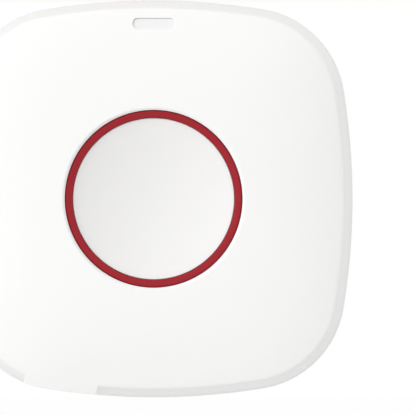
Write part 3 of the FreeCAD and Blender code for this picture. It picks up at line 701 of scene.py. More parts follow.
@dataclass(frozen=True)
class Slot:
    """The indicator's slot in the skin, and the light pipe's head in it."""

    centre_y: float
    length: float = 7.75
    width: float = 2.0
    corner: float = 0.88
    corner_steps: int = 10
    edge_round: float = 0.2
    edge_steps: int = 5
    edge_sweep_deg: float = 78.0
    frame_wall: float = 1.2
    frame_drop: float = 5.0

    def ring(self, offset: float) -> list[Vector]:
        """Outline of the slot, moved outwards.

        Args:
            offset: How far it is moved.

        Returns:
            Points with height 0.
        """
        points = []
        for quarter, (side_x, side_y) in enumerate(((1, 1), (-1, 1), (-1, -1), (1, -1))):
            middle_x = side_x * (self.length / 2 - self.corner)
            middle_y = self.centre_y + side_y * (self.width / 2 - self.corner)
            for k in range(self.corner_steps + 1):
                angle = math.radians(90.0 * quarter + 90.0 * k / self.corner_steps)
                reach = self.corner + offset
                right, up = reach * math.cos(angle), reach * math.sin(angle)
                points.append(Vector((middle_x + right, middle_y + up, 0.0)))
        return points

    def seat(self, crown: Crown) -> float:
        """Height of the foot of the light pipe's frame."""
        return crown.over(Vector((0.0, self.centre_y, 0.0))).z - self.frame_drop

    def cutter(self, crown: Crown) -> Piece:
        """Build the solid that cuts the slot, flared at the skin so that the slot's edge comes out round.

        Args:
            crown: The skin.

        Returns:
            The cutter as a closed solid.
        """
        loops = [raised(self.ring(0.0), self.seat(crown) - OVERCUT)]
        for k in range(self.edge_steps + 1):
            angle = math.radians(self.edge_sweep_deg * k / self.edge_steps)
            offset = self.edge_round * (1 - math.cos(angle))
            depth = self.edge_round * (1 - math.sin(angle))
            loops.append([crown.over(p, depth) for p in self.ring(offset)])
        loops.append([crown.over(p, -OVERCUT) for p in self.ring(self.edge_round)])
        return loft("slot_cutter", loops)


@dataclass(frozen=True)
class FrontCover:
    """Pillow-shaped housing with the button's well moulded in."""

    outline: Outline
    crown: Crown
    slot: Slot
    parting: float
    ring_outer: float
    ring_seat: float
    ring_top: float
    screw_reach: float
    board_front: float
    skin_wall: float = 1.6
    side_wall: float = 1.5
    side_steps: int = 480
    skin_rings: int = 34
    under_rings: int = 8
    crease_round: float = 0.8
    shoulder: float = 1.0
    parting_round: float = 0.18
    inner_round: float = 0.12
    roof_round: float = 0.8
    roof_inset: float = 1.5
    under_inset: float = 2.0
    under_start: float = 0.5
    tab_crease_round: float = 0.22
    tab_left: float = -24.6
    tab_right: float = -10.7
    tab_lean: float = 0.1
    ring_fit: float = 0.05
    flare: float = 0.45
    flare_depth: float = 0.42
    mouth_round: float = 0.35
    well_low: float = 16.4
    well_bottom: float = 18.0
    well_radius: float = 15.35
    well_round: float = 0.5
    guide_bore: float = 2.68
    guide_wall: float = 1.3
    guide_rise: float = 2.0
    guide_round: float = 0.2
    foot_round: float = 0.3
    boss_radius: float = 2.9
    round_steps: int = 48
    screw_radius: float = 1.15
    screw_depth: float = 5.45
    rib_wall: float = 1.0
    rib_drop: float = 6.0
    rib_steps: int = 10
    rib_bite: float = 0.7
    boss_rib_rise: float = 2.5
    boss_rib_start: float = 2.0
    well_rib_start: float = 1.0
    clip_radius: float = 10.4
    clip_count: int = 3
    clip_half_opening: float = 1.7
    clip_behind: float = 0.2
    clip_ahead: float = 2.1
    lug_angle: float = 0.4545
    lug_half_angle: float = 0.107
    lug_steps: int = 6
    lug_inner: float = 3.2
    lug_outer: float = 1.0
    lug_low: float = 7.75
    lug_high: float = 9.95

    def stations(self) -> list[tuple[float, bool]]:
        """Directions of the sections, and whether each lies on the thumb tab.

        Returns:
            Angles in radians in rising order, each with True on the tab.
        """
        leans = (-self.tab_lean, self.tab_lean)
        left = [self.outline.lower_angle(self.tab_left + lean) for lean in leans]
        right = [self.outline.lower_angle(self.tab_right + lean) for lean in leans]
        angles = [FULL_TURN * k / self.side_steps for k in range(self.side_steps)]
        kept = [a for a in angles if not (left[0] <= a <= left[1] or right[0] <= a <= right[1])]
        found = [(a, left[1] < a < right[0]) for a in kept]
        found += [(left[0], False), (left[1], True), (right[0], True), (right[1], False)]
        return sorted(found)

    def crease(self, angle: float, on_tab: bool) -> tuple[float, Vector]:
        """Where the side meets the skin.

        Args:
            angle: Direction of the section.
            on_tab: Whether it lies on the thumb tab.

        Returns:
            The inset there, and the point.
        """
        inset = 0.0
        for _ in range(ESTIMATES):
            point = self.crown.over(self.outline.at(angle, inset))
            inset = self.outline.draft_inset(point.z, on_tab)
        return inset, self.crown.over(self.outline.at(angle, inset))

    def mouth_radius(self, angle: float) -> float:
        """Radius at which the well's flare meets the skin.

        Args:
            angle: Direction of the section.

        Returns:
            The radius in millimetres.
        """
        bore = self.ring_outer + self.ring_fit
        radius = bore
        for _ in range(ESTIMATES):
            skin = self.crown.over(polar(angle, radius)).z
            radius = bore + (skin - self.ring_top) * self.flare / self.flare_depth
        return radius

    def section(self, angle: float, on_tab: bool) -> list[Vector]:
        """Closed section of the cover in one direction.

        Args:
            angle: Direction of the section.
            on_tab: Whether it lies on the thumb tab.

        Returns:
            Its points, as many in every direction.
        """
        outline, crown = self.outline, self.crown
        bore = self.ring_outer + self.ring_fit
        guide = self.guide_bore + self.guide_wall
        guide_top = self.well_bottom + self.guide_rise
        well = (
            (self.guide_bore, self.well_low, 0.0),
            (self.guide_bore, guide_top, self.guide_round),
            (guide, guide_top, self.guide_round),
            (guide, self.well_bottom, self.foot_round),
            (self.well_radius, self.well_bottom, self.well_round),
            (self.well_radius, self.ring_seat, 0.0),
            (bore, self.ring_seat, 0.0),
            (bore, self.ring_top, 0.0),
        )
        corners = [Corner(polar(angle, radius, height), rounding) for radius, height, rounding in well]
        mouth = polar(angle, self.mouth_radius(angle))
        corners.append(Corner(crown.over(mouth), self.mouth_round, steps=5))
        shoulder = outline.at(angle, self.crease(angle, False)[0] + self.shoulder)
        for k in range(1, self.skin_rings + 1):
            corners.append(Corner(crown.over(mouth.lerp(shoulder, k / self.skin_rings))))
        crease_round = self.tab_crease_round if on_tab else self.crease_round
        corners.append(Corner(self.crease(angle, on_tab)[1], crease_round, steps=8))

        low_inset = outline.draft_inset(self.parting, on_tab)
        inner_low = outline.draft_inset(self.parting) + self.side_wall
        roof = crown.over(outline.at(angle, inner_low + self.roof_inset), self.skin_wall)
        inner_high = outline.draft_inset(roof.z) + self.side_wall
        side = (
            (low_inset, self.parting, self.parting_round, 3),
            (inner_low, self.parting, self.inner_round, 3),
            (inner_high, roof.z, self.roof_round, 4),
        )
        for inset, height, rounding, steps in side:
            corners.append(Corner(raised([outline.at(angle, inset)], height)[0], rounding, steps))
        well_outer = bore + self.side_wall
        under = outline.at(angle, inner_high + self.under_inset)
        for k in range(self.under_rings):
            point = under.lerp(polar(angle, well_outer + self.under_start), k / (self.under_rings - 1))
            corners.append(Corner(crown.over(point, self.skin_wall)))
        corners.append(Corner(crown.over(polar(angle, well_outer), self.skin_wall)))
        corners.append(Corner(polar(angle, well_outer, self.well_low), self.foot_round))
        return rounded_loop(corners)

    def in_skin(self, plan: Sequence[Vector]) -> list[Vector]:
        """The points of a plan, lifted to the middle of the skin's wall."""
        return [self.crown.over(p, self.skin_wall / 2) for p in plan]

    def column(self, name: str, footprint: Sequence[Vector], low: float) -> Piece:
        """Solid that stands on a footprint and ends inside the skin."""
        return loft(name, [raised(footprint, low), self.in_skin(footprint)])

    def fin(self, name: str, start: Vector, end: Vector, low: float) -> Piece:
        """Thin wall between two points whose upper edge ends inside the skin.

        Args:
            name: Name of the object.
            start: Where the wall starts.
            end: Where it ends.
            low: Height of its lower edge.

        Returns:
            The wall as a closed solid.
        """
        half = across(end - start).normalized() * (self.rib_wall / 2)
        loops = []
        for k in range(self.rib_steps + 1):
            middle = start.lerp(end, k / self.rib_steps)
            left, right = middle + half, middle - half
            loops.append(raised([right, left], low) + self.in_skin([left, right]))
        return loft(name, loops)

    def inside_pieces(self) -> list[Piece]:
        """Build the bosses, the ribs and the light pipe's frame under the skin.

        Returns:
            Closed solids, to be joined to the cover.
        """
        pieces = []
        for place in self.screw_places():
            angles = [FULL_TURN * k / self.round_steps for k in range(self.round_steps)]
            circle = [place + polar(angle) * self.boss_radius for angle in angles]
            pieces.append(self.column("boss", circle, self.board_front))
            inset = self.outline.draft_inset(self.well_low) + self.rib_bite
            edge = self.outline.at(math.atan2(place.y, place.x), inset)
            start = place + place.normalized() * self.boss_rib_start
            pieces.append(self.fin("boss_rib", start, edge, self.board_front + self.boss_rib_rise))
        for quarter in (0, 2, 3):
            angle = quarter * QUARTER_TURN
            start = polar(angle) * (self.ring_outer + self.well_rib_start)
            edge = self.outline.at(angle, self.outline.draft_inset(self.ring_seat) + self.rib_bite)
            pieces.append(self.fin("well_rib", start, edge, self.ring_top - self.rib_drop))
        half_x = self.slot.length / 2 + self.slot.frame_wall
        half_y = self.slot.width / 2 + self.slot.frame_wall
        plan = [Vector((sx * half_x, self.slot.centre_y + sy * half_y, 0.0)) for sx, sy in AROUND_SIGNS]
        pieces.append(self.column("pipe_frame", plan, self.slot.seat(self.crown)))
        return pieces

    def screw_places(self) -> list[Vector]:
        """Centres of the four board screws."""
        return [Vector((sx * self.screw_reach, sy * self.screw_reach, 0.0)) for sx, sy in SCREW_SIGNS]

    def openings(self) -> list[Piece]:
        """Build the solids that cut the slot, the screw holes, the clips' openings and the lugs' recesses.

        Returns:
            Closed solids, to be taken out of the cover.
        """
        cutters = [self.slot.cutter(self.crown)]
        low, high = self.board_front - OVERCUT, self.board_front + self.screw_depth
        sides = ((0.0, low), (self.screw_radius, low), (self.screw_radius, high), (0.0, high))
        hole = [Vector((radius, 0.0, height)) for radius, height in sides]
        for place in self.screw_places():
            cutters.append(turned_solid("screw_hole", hole, self.round_steps, (place.x, place.y)))
        near, far = self.clip_radius - self.clip_behind, self.clip_radius + self.clip_ahead
        for k in range(self.clip_count):
            out = polar(QUARTER_TURN + FULL_TURN * k / self.clip_count)
            half = across(out) * self.clip_half_opening
            plan = [out * near + half, out * far + half, out * far - half, out * near - half]
            heights = (self.well_low - OVERCUT, self.well_bottom + OVERCUT)
            cutters.append(loft("clip_opening", [raised(plan, height) for height in heights]))
        for quarter in (1, 3):
            cutters += [self.recess(quarter * QUARTER_TURN + lean * self.lug_angle) for lean in (-1, 1)]
        return cutters

    def recess(self, middle: float) -> Piece:
        """Build the solid that cuts the recess for one snap lug, along the outline.

        Args:
            middle: Direction of the lug's middle.

        Returns:
            The cutter as a closed solid.
        """
        edges = (
            (self.lug_outer, self.lug_low),
            (self.lug_inner, self.lug_low),
            (self.lug_inner, self.lug_high),
            (self.lug_outer, self.lug_high),
        )
        loops = []
        for k in range(self.lug_steps + 1):
            angle = middle + self.lug_half_angle * (2 * k / self.lug_steps - 1)
            loop = []
            for inset, height in edges:
                loop += raised([self.outline.at(angle, self.outline.draft_inset(height) + inset)], height)
            loops.append(loop)
        return loft("lug_recess", loops)

    def build(self) -> Piece:
        """Build the cover and dress it.

        Returns:
            The finished piece.
        """
        sections = [self.section(angle, on_tab) for angle, on_tab in self.stations()]
        cover = loft("housing", sections, round_trip=True)
        merged(cover, self.inside_pieces(), Merge.JOIN)
        merged(cover, self.openings(), Merge.TAKE)
        return dressed(smoothed(cover), HOUSING_WHITE, "front", "front_cover")


def run_tree(
    name: str,
    wiring: Wiring,
    values: dict[str, object],
    start: bpy.types.Mesh | None = None,
    bevel: float = 0.0,
) -> Piece:
    """Evaluate a geometry tree and keep its result as a plain mesh.

    Args:
        name: Name of the finished object.
        wiring: The geometry tree.
        values: Input values by socket name.
        start: Mesh that the tree starts from, or None for an empty one.
        bevel: Width of a bevel on the result's edges in millimetres, 0 for none.

    Returns:
        The new object, with no modifier left on it.
    """
    piece = new_object(name, start or bpy.data.meshes.new(name))
    step = piece.modifiers.new("Build", "NODES")
    step.node_group = wiring.tree
    for item in wiring.tree.interface.items_tree:
        if item.item_type == "SOCKET" and item.in_out == "INPUT" and item.name in values:
            step[item.identifier] = values[item.name]
    if bevel > 0.0:
        add_bevel(piece, bevel * MM, segments=2, limit_deg=30.0)
    return applied(piece)


def geometry_tree(name: str, inputs: dict[str, str]) -> Wiring:
    """Start a geometry tree with a geometry input and output and further named inputs."""
    shape = {"Geometry": "Geometry"}
    return new_tree(name, "GeometryNodeTree", {**shape, **inputs}, shape)


def painted_shape(wiring: Wiring, geometry: Socket, material: Socket) -> Socket:
    """Set the material of a shape in a geometry tree, and return the shape."""
    paint = {"Geometry": geometry, "Material": material}
    return wiring.node("GeometryNodeSetMaterial", paint).outputs["Geometry"]


def close_tree(wiring: Wiring, geometry: Socket, material: Socket, turn: bool) -> None:
    """End a geometry tree: turn upright where asked, realise and set the material.

    Args:
        wiring: The tree's wiring.
        geometry: What the tree has made.
        material: The material input.
        turn: True turns the result from the lying drawing into the frame.
    """
    if turn:
        stand = {"Geometry": geometry, "Rotation": (QUARTER_TURN, 0.0, 0.0)}
        geometry = wiring.node("GeometryNodeTransform", stand).outputs["Geometry"]
    realised = wiring.node("GeometryNodeRealizeInstances", {"Geometry": geometry}).outputs["Geometry"]
    wiring.node("NodeGroupOutput", {"Geometry": painted_shape(wiring, realised, material)})


@dataclass(frozen=True)
class TrimRing:
    """Red ring round the button, its face sloping in."""

    outer: float
    seat: float
    outer_top: float
    width: float = 1.42
    slope_deg: float = 12.0
    edge_round: float = 0.13
    lip_round: float = 0.42
    round_steps: int = 5
    around: int = 256

    def tree(self) -> Wiring:
        """Build the tree that sweeps the rounded section round a circle.

        Returns:
            The tree's wiring.
        """
        sizes = ("Inner Radius", "Outer Radius", "Seat", "Inner Top", "Outer Top", "Edge Round", "Lip Round")
        inputs = {**dict.fromkeys(sizes, "Float"), "Around": "Int", "Material": "Material"}
        wiring = geometry_tree("Trim ring", inputs)
        given = wiring.node("NodeGroupInput").outputs
        both = wiring.math("ADD", given["Inner Radius"], given["Outer Radius"])
        middle = wiring.math("MULTIPLY", both, 0.5)
        near = wiring.math("SUBTRACT", given["Inner Radius"], middle)
        far = wiring.math("SUBTRACT", given["Outer Radius"], middle)
        run = {"Resolution": given["Around"], "Radius": middle}
        circle = wiring.node("GeometryNodeCurvePrimitiveCircle", run)
        corners = {}
        plan = ((near, "Seat"), (far, "Seat"), (far, "Outer Top"), (near, "Inner Top"))
        for number, (sideways, height) in enumerate(plan, 1):
            place = {"X": sideways, "Y": wiring.math("MULTIPLY", given[height], -1.0)}
            corners[f"Point {number}"] = wiring.node("ShaderNodeCombineXYZ", place).outputs["Vector"]
        section = wiring.node("GeometryNodeCurvePrimitiveQuadrilateral", corners, mode="POINTS")
        # The larger radius goes to the outer upper corner only.
        is_lip = wiring.math("COMPARE", wiring.node("GeometryNodeInputIndex").outputs["Index"], 2.0)
        extra = wiring.math("SUBTRACT", given["Lip Round"], given["Edge Round"])
        radius = wiring.math("ADD", wiring.math("MULTIPLY", is_lip, extra), given["Edge Round"])
        rounds = {"Count": self.round_steps, "Curve": section.outputs["Curve"], "Radius": radius}
        rounded = wiring.node("GeometryNodeFilletCurve", rounds, mode="POLY")
        swept = {"Curve": circle.outputs["Curve"], "Profile Curve": rounded.outputs["Curve"]}
        sweep = wiring.node("GeometryNodeCurveToMesh", swept)
        close_tree(wiring, sweep.outputs["Mesh"], given["Material"], turn=True)
        return wiring

    def build(self) -> Piece:
        """Build the ring and dress it.

        Returns:
            The finished piece.
        """
        fall = self.width * math.tan(math.radians(self.slope_deg))
        values = {
            "Inner Radius": (self.outer - self.width) * MM,
            "Outer Radius": self.outer * MM,
            "Seat": self.seat * MM,
            "Inner Top": (self.outer_top - fall) * MM,
            "Outer Top": self.outer_top * MM,
            "Edge Round": self.edge_round * MM,
            "Lip Round": self.lip_round * MM,
            "Around": self.around,
            "Material": RING_RED.material(),
        }
        ring = smoothed(run_tree("red_ring", self.tree(), values))
        return dressed(ring, None, "front", "trim_ring")


@dataclass(frozen=True)
class Button:
    """Dished button with a skirt, a central plunger and clips."""

    radius: float
    rim_height: float
    well_bottom: float
    stem_top: float
    clip_low: float
    sag: float = 2.5
    set_in: float = 0.25
    wall: float = 1.5
    behind: float = 3.4
    play: float = 0.12
    edge_round: float = 0.12
    skirt_gap: float = 1.3
    skirt_round: float = 0.2
    inner_round: float = 0.3
    stem_gap: float = 0.05
    plunger_radius: float = 2.6
    clip_radius: float = 10.4
    clip_wall: float = 1.2
    clip_width: float = 3.0
    clip_bite: float = 0.7
    clip_nose: float = 1.1
    clip_ledge: float = 0.37
    clip_count: int = 3
    around: int = 256
    dish_rings: int = 40

    def rim(self) -> float:
        """Radius of the visible rim, which leaves only a hair's play to the ring."""
        return self.radius + self.play

    def dish(self, radius: float) -> Vector:
        """Point of the dish at a radius.

        Args:
            radius: Distance from the axis.

        Returns:
            The point, with the radius as x.
        """
        edge = self.rim() - self.edge_round
        sphere = (edge**2 + self.sag**2) / (2 * self.sag)
        rise = sphere - math.sqrt(sphere**2 - radius**2)
        return Vector((radius, 0.0, self.rim_height - self.set_in - self.sag + rise))

    def underside(self) -> float:
        """Height of the face behind the dish."""
        return self.rim_height - self.behind

    def clip(self, angle: float) -> Piece:
        """Build one clip arm, whose nose catches under the well's floor.

        Args:
            angle: Direction of the arm from the axis.

        Returns:
            The arm as a closed solid.
        """
        outer = self.clip_radius + self.clip_wall
        catch = self.clip_low + self.clip_nose
        top = self.underside() + self.wall / 2
        profile = (
            (self.clip_radius, top),
            (self.clip_radius, self.clip_low),
            (outer, self.clip_low),
            (outer + self.clip_bite, catch - self.clip_ledge),
            (outer + self.clip_bite, catch),
            (outer, catch),
            (outer, top),
        )
        out = polar(angle)
        loops = []
        for side in (-1, 1):
            shift = across(out) * (side * self.clip_width / 2)
            loops.append([out * r + shift + Vector((0.0, 0.0, z)) for r, z in profile])
        return loft("clip", loops)

    def build(self) -> Piece:
        """Build the button and dress it.

        Returns:
            The finished piece.
        """
        inner = self.radius - self.wall
        skirt_low = self.well_bottom + self.skirt_gap
        plunger_low = self.stem_top + self.stem_gap
        last = self.rim() - 2 * self.edge_round
        corners = [Corner(self.dish(last * k / self.dish_rings)) for k in range(self.dish_rings + 1)]
        corners.append(Corner(self.dish(self.rim()), self.edge_round, steps=8))
        behind = (
            (self.rim(), skirt_low, self.skirt_round),
            (inner, skirt_low, self.skirt_round),
            (inner, self.underside(), self.inner_round),
            (self.plunger_radius, self.underside(), self.inner_round),
            (self.plunger_radius, plunger_low, self.inner_round),
            (0.0, plunger_low, 0.0),
        )
        corners += [Corner(Vector((radius, 0.0, height)), rounding) for radius, height, rounding in behind]
        cap = turned_solid("white_button", rounded_loop(corners), self.around)
        clips = [self.clip(QUARTER_TURN + FULL_TURN * k / self.clip_count) for k in range(self.clip_count)]
        smoothed(merged(cap, clips, Merge.JOIN))
        return dressed(cap, BUTTON_WHITE, "button", "button_cap")


@dataclass(frozen=True)
class ReturnSpring:
    """Open coil between the well's floor and the button."""

    low: float
    high: float
    radius: float = 5.4
    wire: float = 0.25
    wire_steps: int = 12
    turns: float = 3.0
    turn_steps: int = 40
    travel: float = 1.0

    def tree(self) -> Wiring:
        """Build the tree that sweeps the round wire along the coil.

        Returns:
            The tree's wiring.
        """
        sizes = dict.fromkeys(("Radius", "Wire Radius", "Turns", "Rise"), "Float")
        wiring = geometry_tree("Coil", {**sizes, "Material": "Material"})
        given = wiring.node("NodeGroupInput").outputs
        run = {
            "Resolution": self.turn_steps,
            "Rotations": given["Turns"],
            "Start Radius": given["Radius"],
            "End Radius": given["Radius"],
            "Height": given["Rise"],
        }
        coil = wiring.node("GeometryNodeCurveSpiral", run)
        wire = {"Resolution": self.wire_steps, "Radius": given["Wire Radius"]}
        section = wiring.node("GeometryNodeCurvePrimitiveCircle", wire)
        swept = {"Curve": coil.outputs["Curve"], "Profile Curve": section.outputs["Curve"], "Fill Caps": True}
        sweep = wiring.node("GeometryNodeCurveToMesh", swept)
        close_tree(wiring, sweep.outputs["Mesh"], given["Material"], turn=True)
        return wiring

    def build(self) -> Piece:
        """Build the spring and dress it.

        Returns:
            The finished piece.
        """
        start = self.low + self.wire
        values = {
            "Radius": self.radius * MM,
            "Wire Radius": self.wire * MM,
            "Turns": self.turns,
            "Rise": (self.high - self.wire - start) * MM,
            "Material": SPRING_STEEL.material(),
        }
        spring = smoothed(run_tree("coil_spring", self.tree(), values))
        for vertex in spring.data.vertices:
            vertex.co.y -= start * MM
        dressed(spring, None, "front", "return_spring")
        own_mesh(spring)
        return spring


@dataclass(frozen=True)
class WallPanel:
    """The rear panel's own shape, with its edges rounded and its curved faces shaded smooth."""

    edge_round: float = 0.15

    def build(self) -> Piece:
        """Refine the panel's mesh and dress it."""
        panel = smoothed(refined("wall_panel", "rear_panel", self.edge_round))
        return dressed(panel, PANEL_WHITE, "rear", "rear_panel")


@dataclass(frozen=True)
class LightPipe:
    """Milky light pipe whose head closes the slot a little under the skin."""

    crown: Crown
    slot: Slot
    recess: float = 0.34
    trim_reach: float = 0.5
    trim_gap: float = 0.01
    lens_depth: float = 0.9
    lens_reach: float = -0.01
    lens_seat: float = 0.032

    def slab(self, name: str, reach: float, deep: float, shallow: float, shift: float = 0.0) -> Piece:
        """Build a slab of the slot's form that follows the skin.

        Args:
            name: Name of the object.
            reach: How far it is wider than the slot.
            deep: Depth of its lower face under the skin.
            shallow: Depth of its upper face.
            shift: How far it is moved to the right and down.

        Returns:
            The slab as a closed solid.
        """
        ring = [p + Vector((shift, -shift, 0.0)) for p in self.slot.ring(reach)]
        return loft(name, [[self.crown.over(p, depth) for p in ring] for depth in (deep, shallow)])

    def build(self) -> Piece:
        """Trim the CAD node's head, join a lens that leans on the slot's lower right wall, and dress it.

        Returns:
            The finished piece.
        """
        pipe = refined("light_pipe", "indicator_window")
        trim = self.slab("trim", self.trim_reach, self.recess + self.trim_gap, -OVERCUT)
        merged(pipe, [trim], Merge.TAKE)
        lens = self.slab("lens", self.lens_reach, self.lens_depth, self.recess, self.lens_seat)
        smoothed(merged(pipe, [lens], Merge.JOIN))
        return dressed(pipe, WINDOW_MILK, "front", "indicator_window")


@dataclass(frozen=True)
class ChipRow:
    """Row of like board parts, each a ceramic body between two tinned ends."""

    node: str
    name: str
    slot: str
    finish: Finish
    count: int
    pitch: float
    end_share: float = 0.2
    body_share: float = 0.94
    edge_bevel: float = 0.05

    @staticmethod
    def tree() -> Wiring:
        """Build, once, the tree that repeats one part up the board.

        Returns:
            The tree's wiring.
        """
        name = "Chip row"
        if name in bpy.data.node_groups:
            return Wiring(bpy.data.node_groups[name])
        sizes = dict.fromkeys(("Body Size", "End Size", "End Shift", "Start", "Step"), "Vector")
        paints = dict.fromkeys(("Body Material", "End Material"), "Material")
        wiring = geometry_tree(name, {**sizes, "Count": "Int", **paints})
        given = wiring.node("NodeGroupInput").outputs
        body = wiring.node("GeometryNodeMeshCube", {"Size": given["Body Size"]}).outputs["Mesh"]
        joined = wiring.node("GeometryNodeJoinGeometry")
        wiring.feed(joined, {"Geometry": painted_shape(wiring, body, given["Body Material"])})
        for side in (-1.0, 1.0):
            end = wiring.node("GeometryNodeMeshCube", {"Size": given["End Size"]}).outputs["Mesh"]
            sided = {0: given["End Shift"], "Scale": side}
            shift = wiring.node("ShaderNodeVectorMath", sided, operation="SCALE")
            place = {"Geometry": end, "Translation": shift.outputs["Vector"]}
            moved = wiring.node("GeometryNodeTransform", place).outputs["Geometry"]
            wiring.feed(joined, {"Geometry": painted_shape(wiring, moved, given["End Material"])})
        line = {"Count": given["Count"], "Start Location": given["Start"], "Offset": given["Step"]}
        row = wiring.node("GeometryNodeMeshLine", line).outputs["Mesh"]
        spread = {"Points": row, "Instance": joined.outputs["Geometry"]}
        repeat = wiring.node("GeometryNodeInstanceOnPoints", spread)
        realised = wiring.node("GeometryNodeRealizeInstances", {"Geometry": repeat.outputs["Instances"]})
        wiring.node("NodeGroupOutput", {"Geometry": realised.outputs["Geometry"]})
        return wiring

    def build(self) -> Piece:
        """Build the row in the space of its CAD node and dress it.

        Returns:
            The finished piece.
        """
        low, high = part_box(self.node)
        size = high - low
        part = Vector((size.x, size.y, size.z - (self.count - 1) * self.pitch * MM))
        end = part.x * self.end_share
        middle = (low + high) / 2
        values = {
            "Body Size": (part.x - 2 * end, part.y * self.body_share, part.z * self.body_share),
            "End Size": (end, part.y, part.z),
            "End Shift": ((part.x - end) / 2, 0.0, 0.0),
            "Start": (middle.x, middle.y, low.z + part.z / 2),
            "Step": (0.0, 0.0, self.pitch * MM),
            "Count": self.count,
            "Body Material": self.finish.material(),
            "End Material": TINNED.material(),
        }
        row = smoothed(run_tree(self.name, self.tree(), values, bevel=self.edge_bevel))
        return dressed(row, None, "front", self.node)


@dataclass(frozen=True)
class BoardScrews:
    """Four cross-recessed screws with domed heads, on the wall side of the board."""

    reach: float
    head_low: float
    tip: float
    head_height: float = 1.5
    head_radius: float = 2.1
    dome_round: float = 0.55
    radius: float = 1.1
    tip_radius: float = 0.35
    around: int = 36
    thread_pitch: float = 0.7
    thread_depth: float = 0.18
    thread_start: float = 0.6
    thread_spare: float = 1.5
    cross_width: float = 0.55
    cross_span: float = 2.3
    cross_depth: float = 0.8
    cross_above: float = 0.2
    cross_mouth: float = 1.1
    cross_foot: float = 0.7
    crease_deg: float = 25.0

    def pattern(self) -> Piece:
        """Build one screw on the axis, its thread cut as shallow rings.

        Returns:
            The screw.
        """
        head_high = self.head_low + self.head_height
        edge = Corner(Vector((self.head_radius, 0.0, self.head_low)), self.dome_round, steps=5)
        middle, rim = Vector((0.0, 0.0, self.head_low)), Vector((self.head_radius, 0.0, head_high))
        profile = [middle, *edge.rounded(middle, rim), rim, Vector((self.radius, 0.0, head_high))]
        for k in range(int((self.tip - head_high - self.thread_spare) / self.thread_pitch)):
            height = head_high + self.thread_start + k * self.thread_pitch
            profile.append(Vector((self.radius - self.thread_depth, 0.0, height)))
            profile.append(Vector((self.radius, 0.0, height + self.thread_pitch / 2)))
        profile += [Vector((radius, 0.0, self.tip)) for radius in (self.tip_radius, 0.0)]
        screw = turned_solid("screw_pattern", profile, self.around)
        span, width = self.cross_span / 2, self.cross_width / 2
        levels = (
            (self.head_low - self.cross_above, self.cross_mouth),
            (self.head_low + self.cross_depth, self.cross_foot),
        )
        bars = []
        for half_x, half_y in ((span, width), (width, span)):
            plan = [Vector((sx * half_x, sy * half_y, 0.0)) for sx, sy in AROUND_SIGNS]
            loops = [[Vector((p.x * grown, p.y * grown, height)) for p in plan] for height, grown in levels]
            bars.append(loft("cross_bar", loops))
        return smoothed(merged(screw, bars, Merge.TAKE), self.crease_deg)

    def tree(self) -> Wiring:
        """Build the tree that sets the screw on each point.

        Returns:
            The tree's wiring.
        """
        wiring = geometry_tree("Screws", {"Screw": "Object", "Material": "Material"})
        given = wiring.node("NodeGroupInput").outputs
        screw = wiring.node("GeometryNodeObjectInfo", {"Object": given["Screw"]}).outputs["Geometry"]
        spread = {"Points": given["Geometry"], "Instance": screw}
        repeat = wiring.node("GeometryNodeInstanceOnPoints", spread)
        close_tree(wiring, repeat.outputs["Instances"], given["Material"], turn=False)
        return wiring

    def build(self) -> Piece:
        """Build the four screws and dress them.

        Returns:
            The finished piece.
        """
        pattern = self.pattern()
        places = bpy.data.meshes.new("screw_places")
        points = [upright(Vector((sx * self.reach, sy * self.reach, 0.0))) for sx, sy in SCREW_SIGNS]
        places.from_pydata(points, [], [])
        values = {"Screw": pattern, "Material": SCREW_STEEL.material()}
        screws = smoothed(run_tree("cross_screws", self.tree(), values, start=places), self.crease_deg)
        bpy.data.meshes.remove(pattern.data)
        return dressed(screws, None, "front", "board_screws")


def dress_cad_nodes() -> None:
    """Give each CAD node that stays visible its procedural material."""
    for node, finish in CAD_FINISHES.items():
        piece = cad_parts[node]
        if not piece.data.materials:
            piece.data.materials.append(None)
        for slot in piece.material_slots:
            slot.material = finish.material()
        LOG.info("%s keeps its solid and gets %s", node, finish.name)


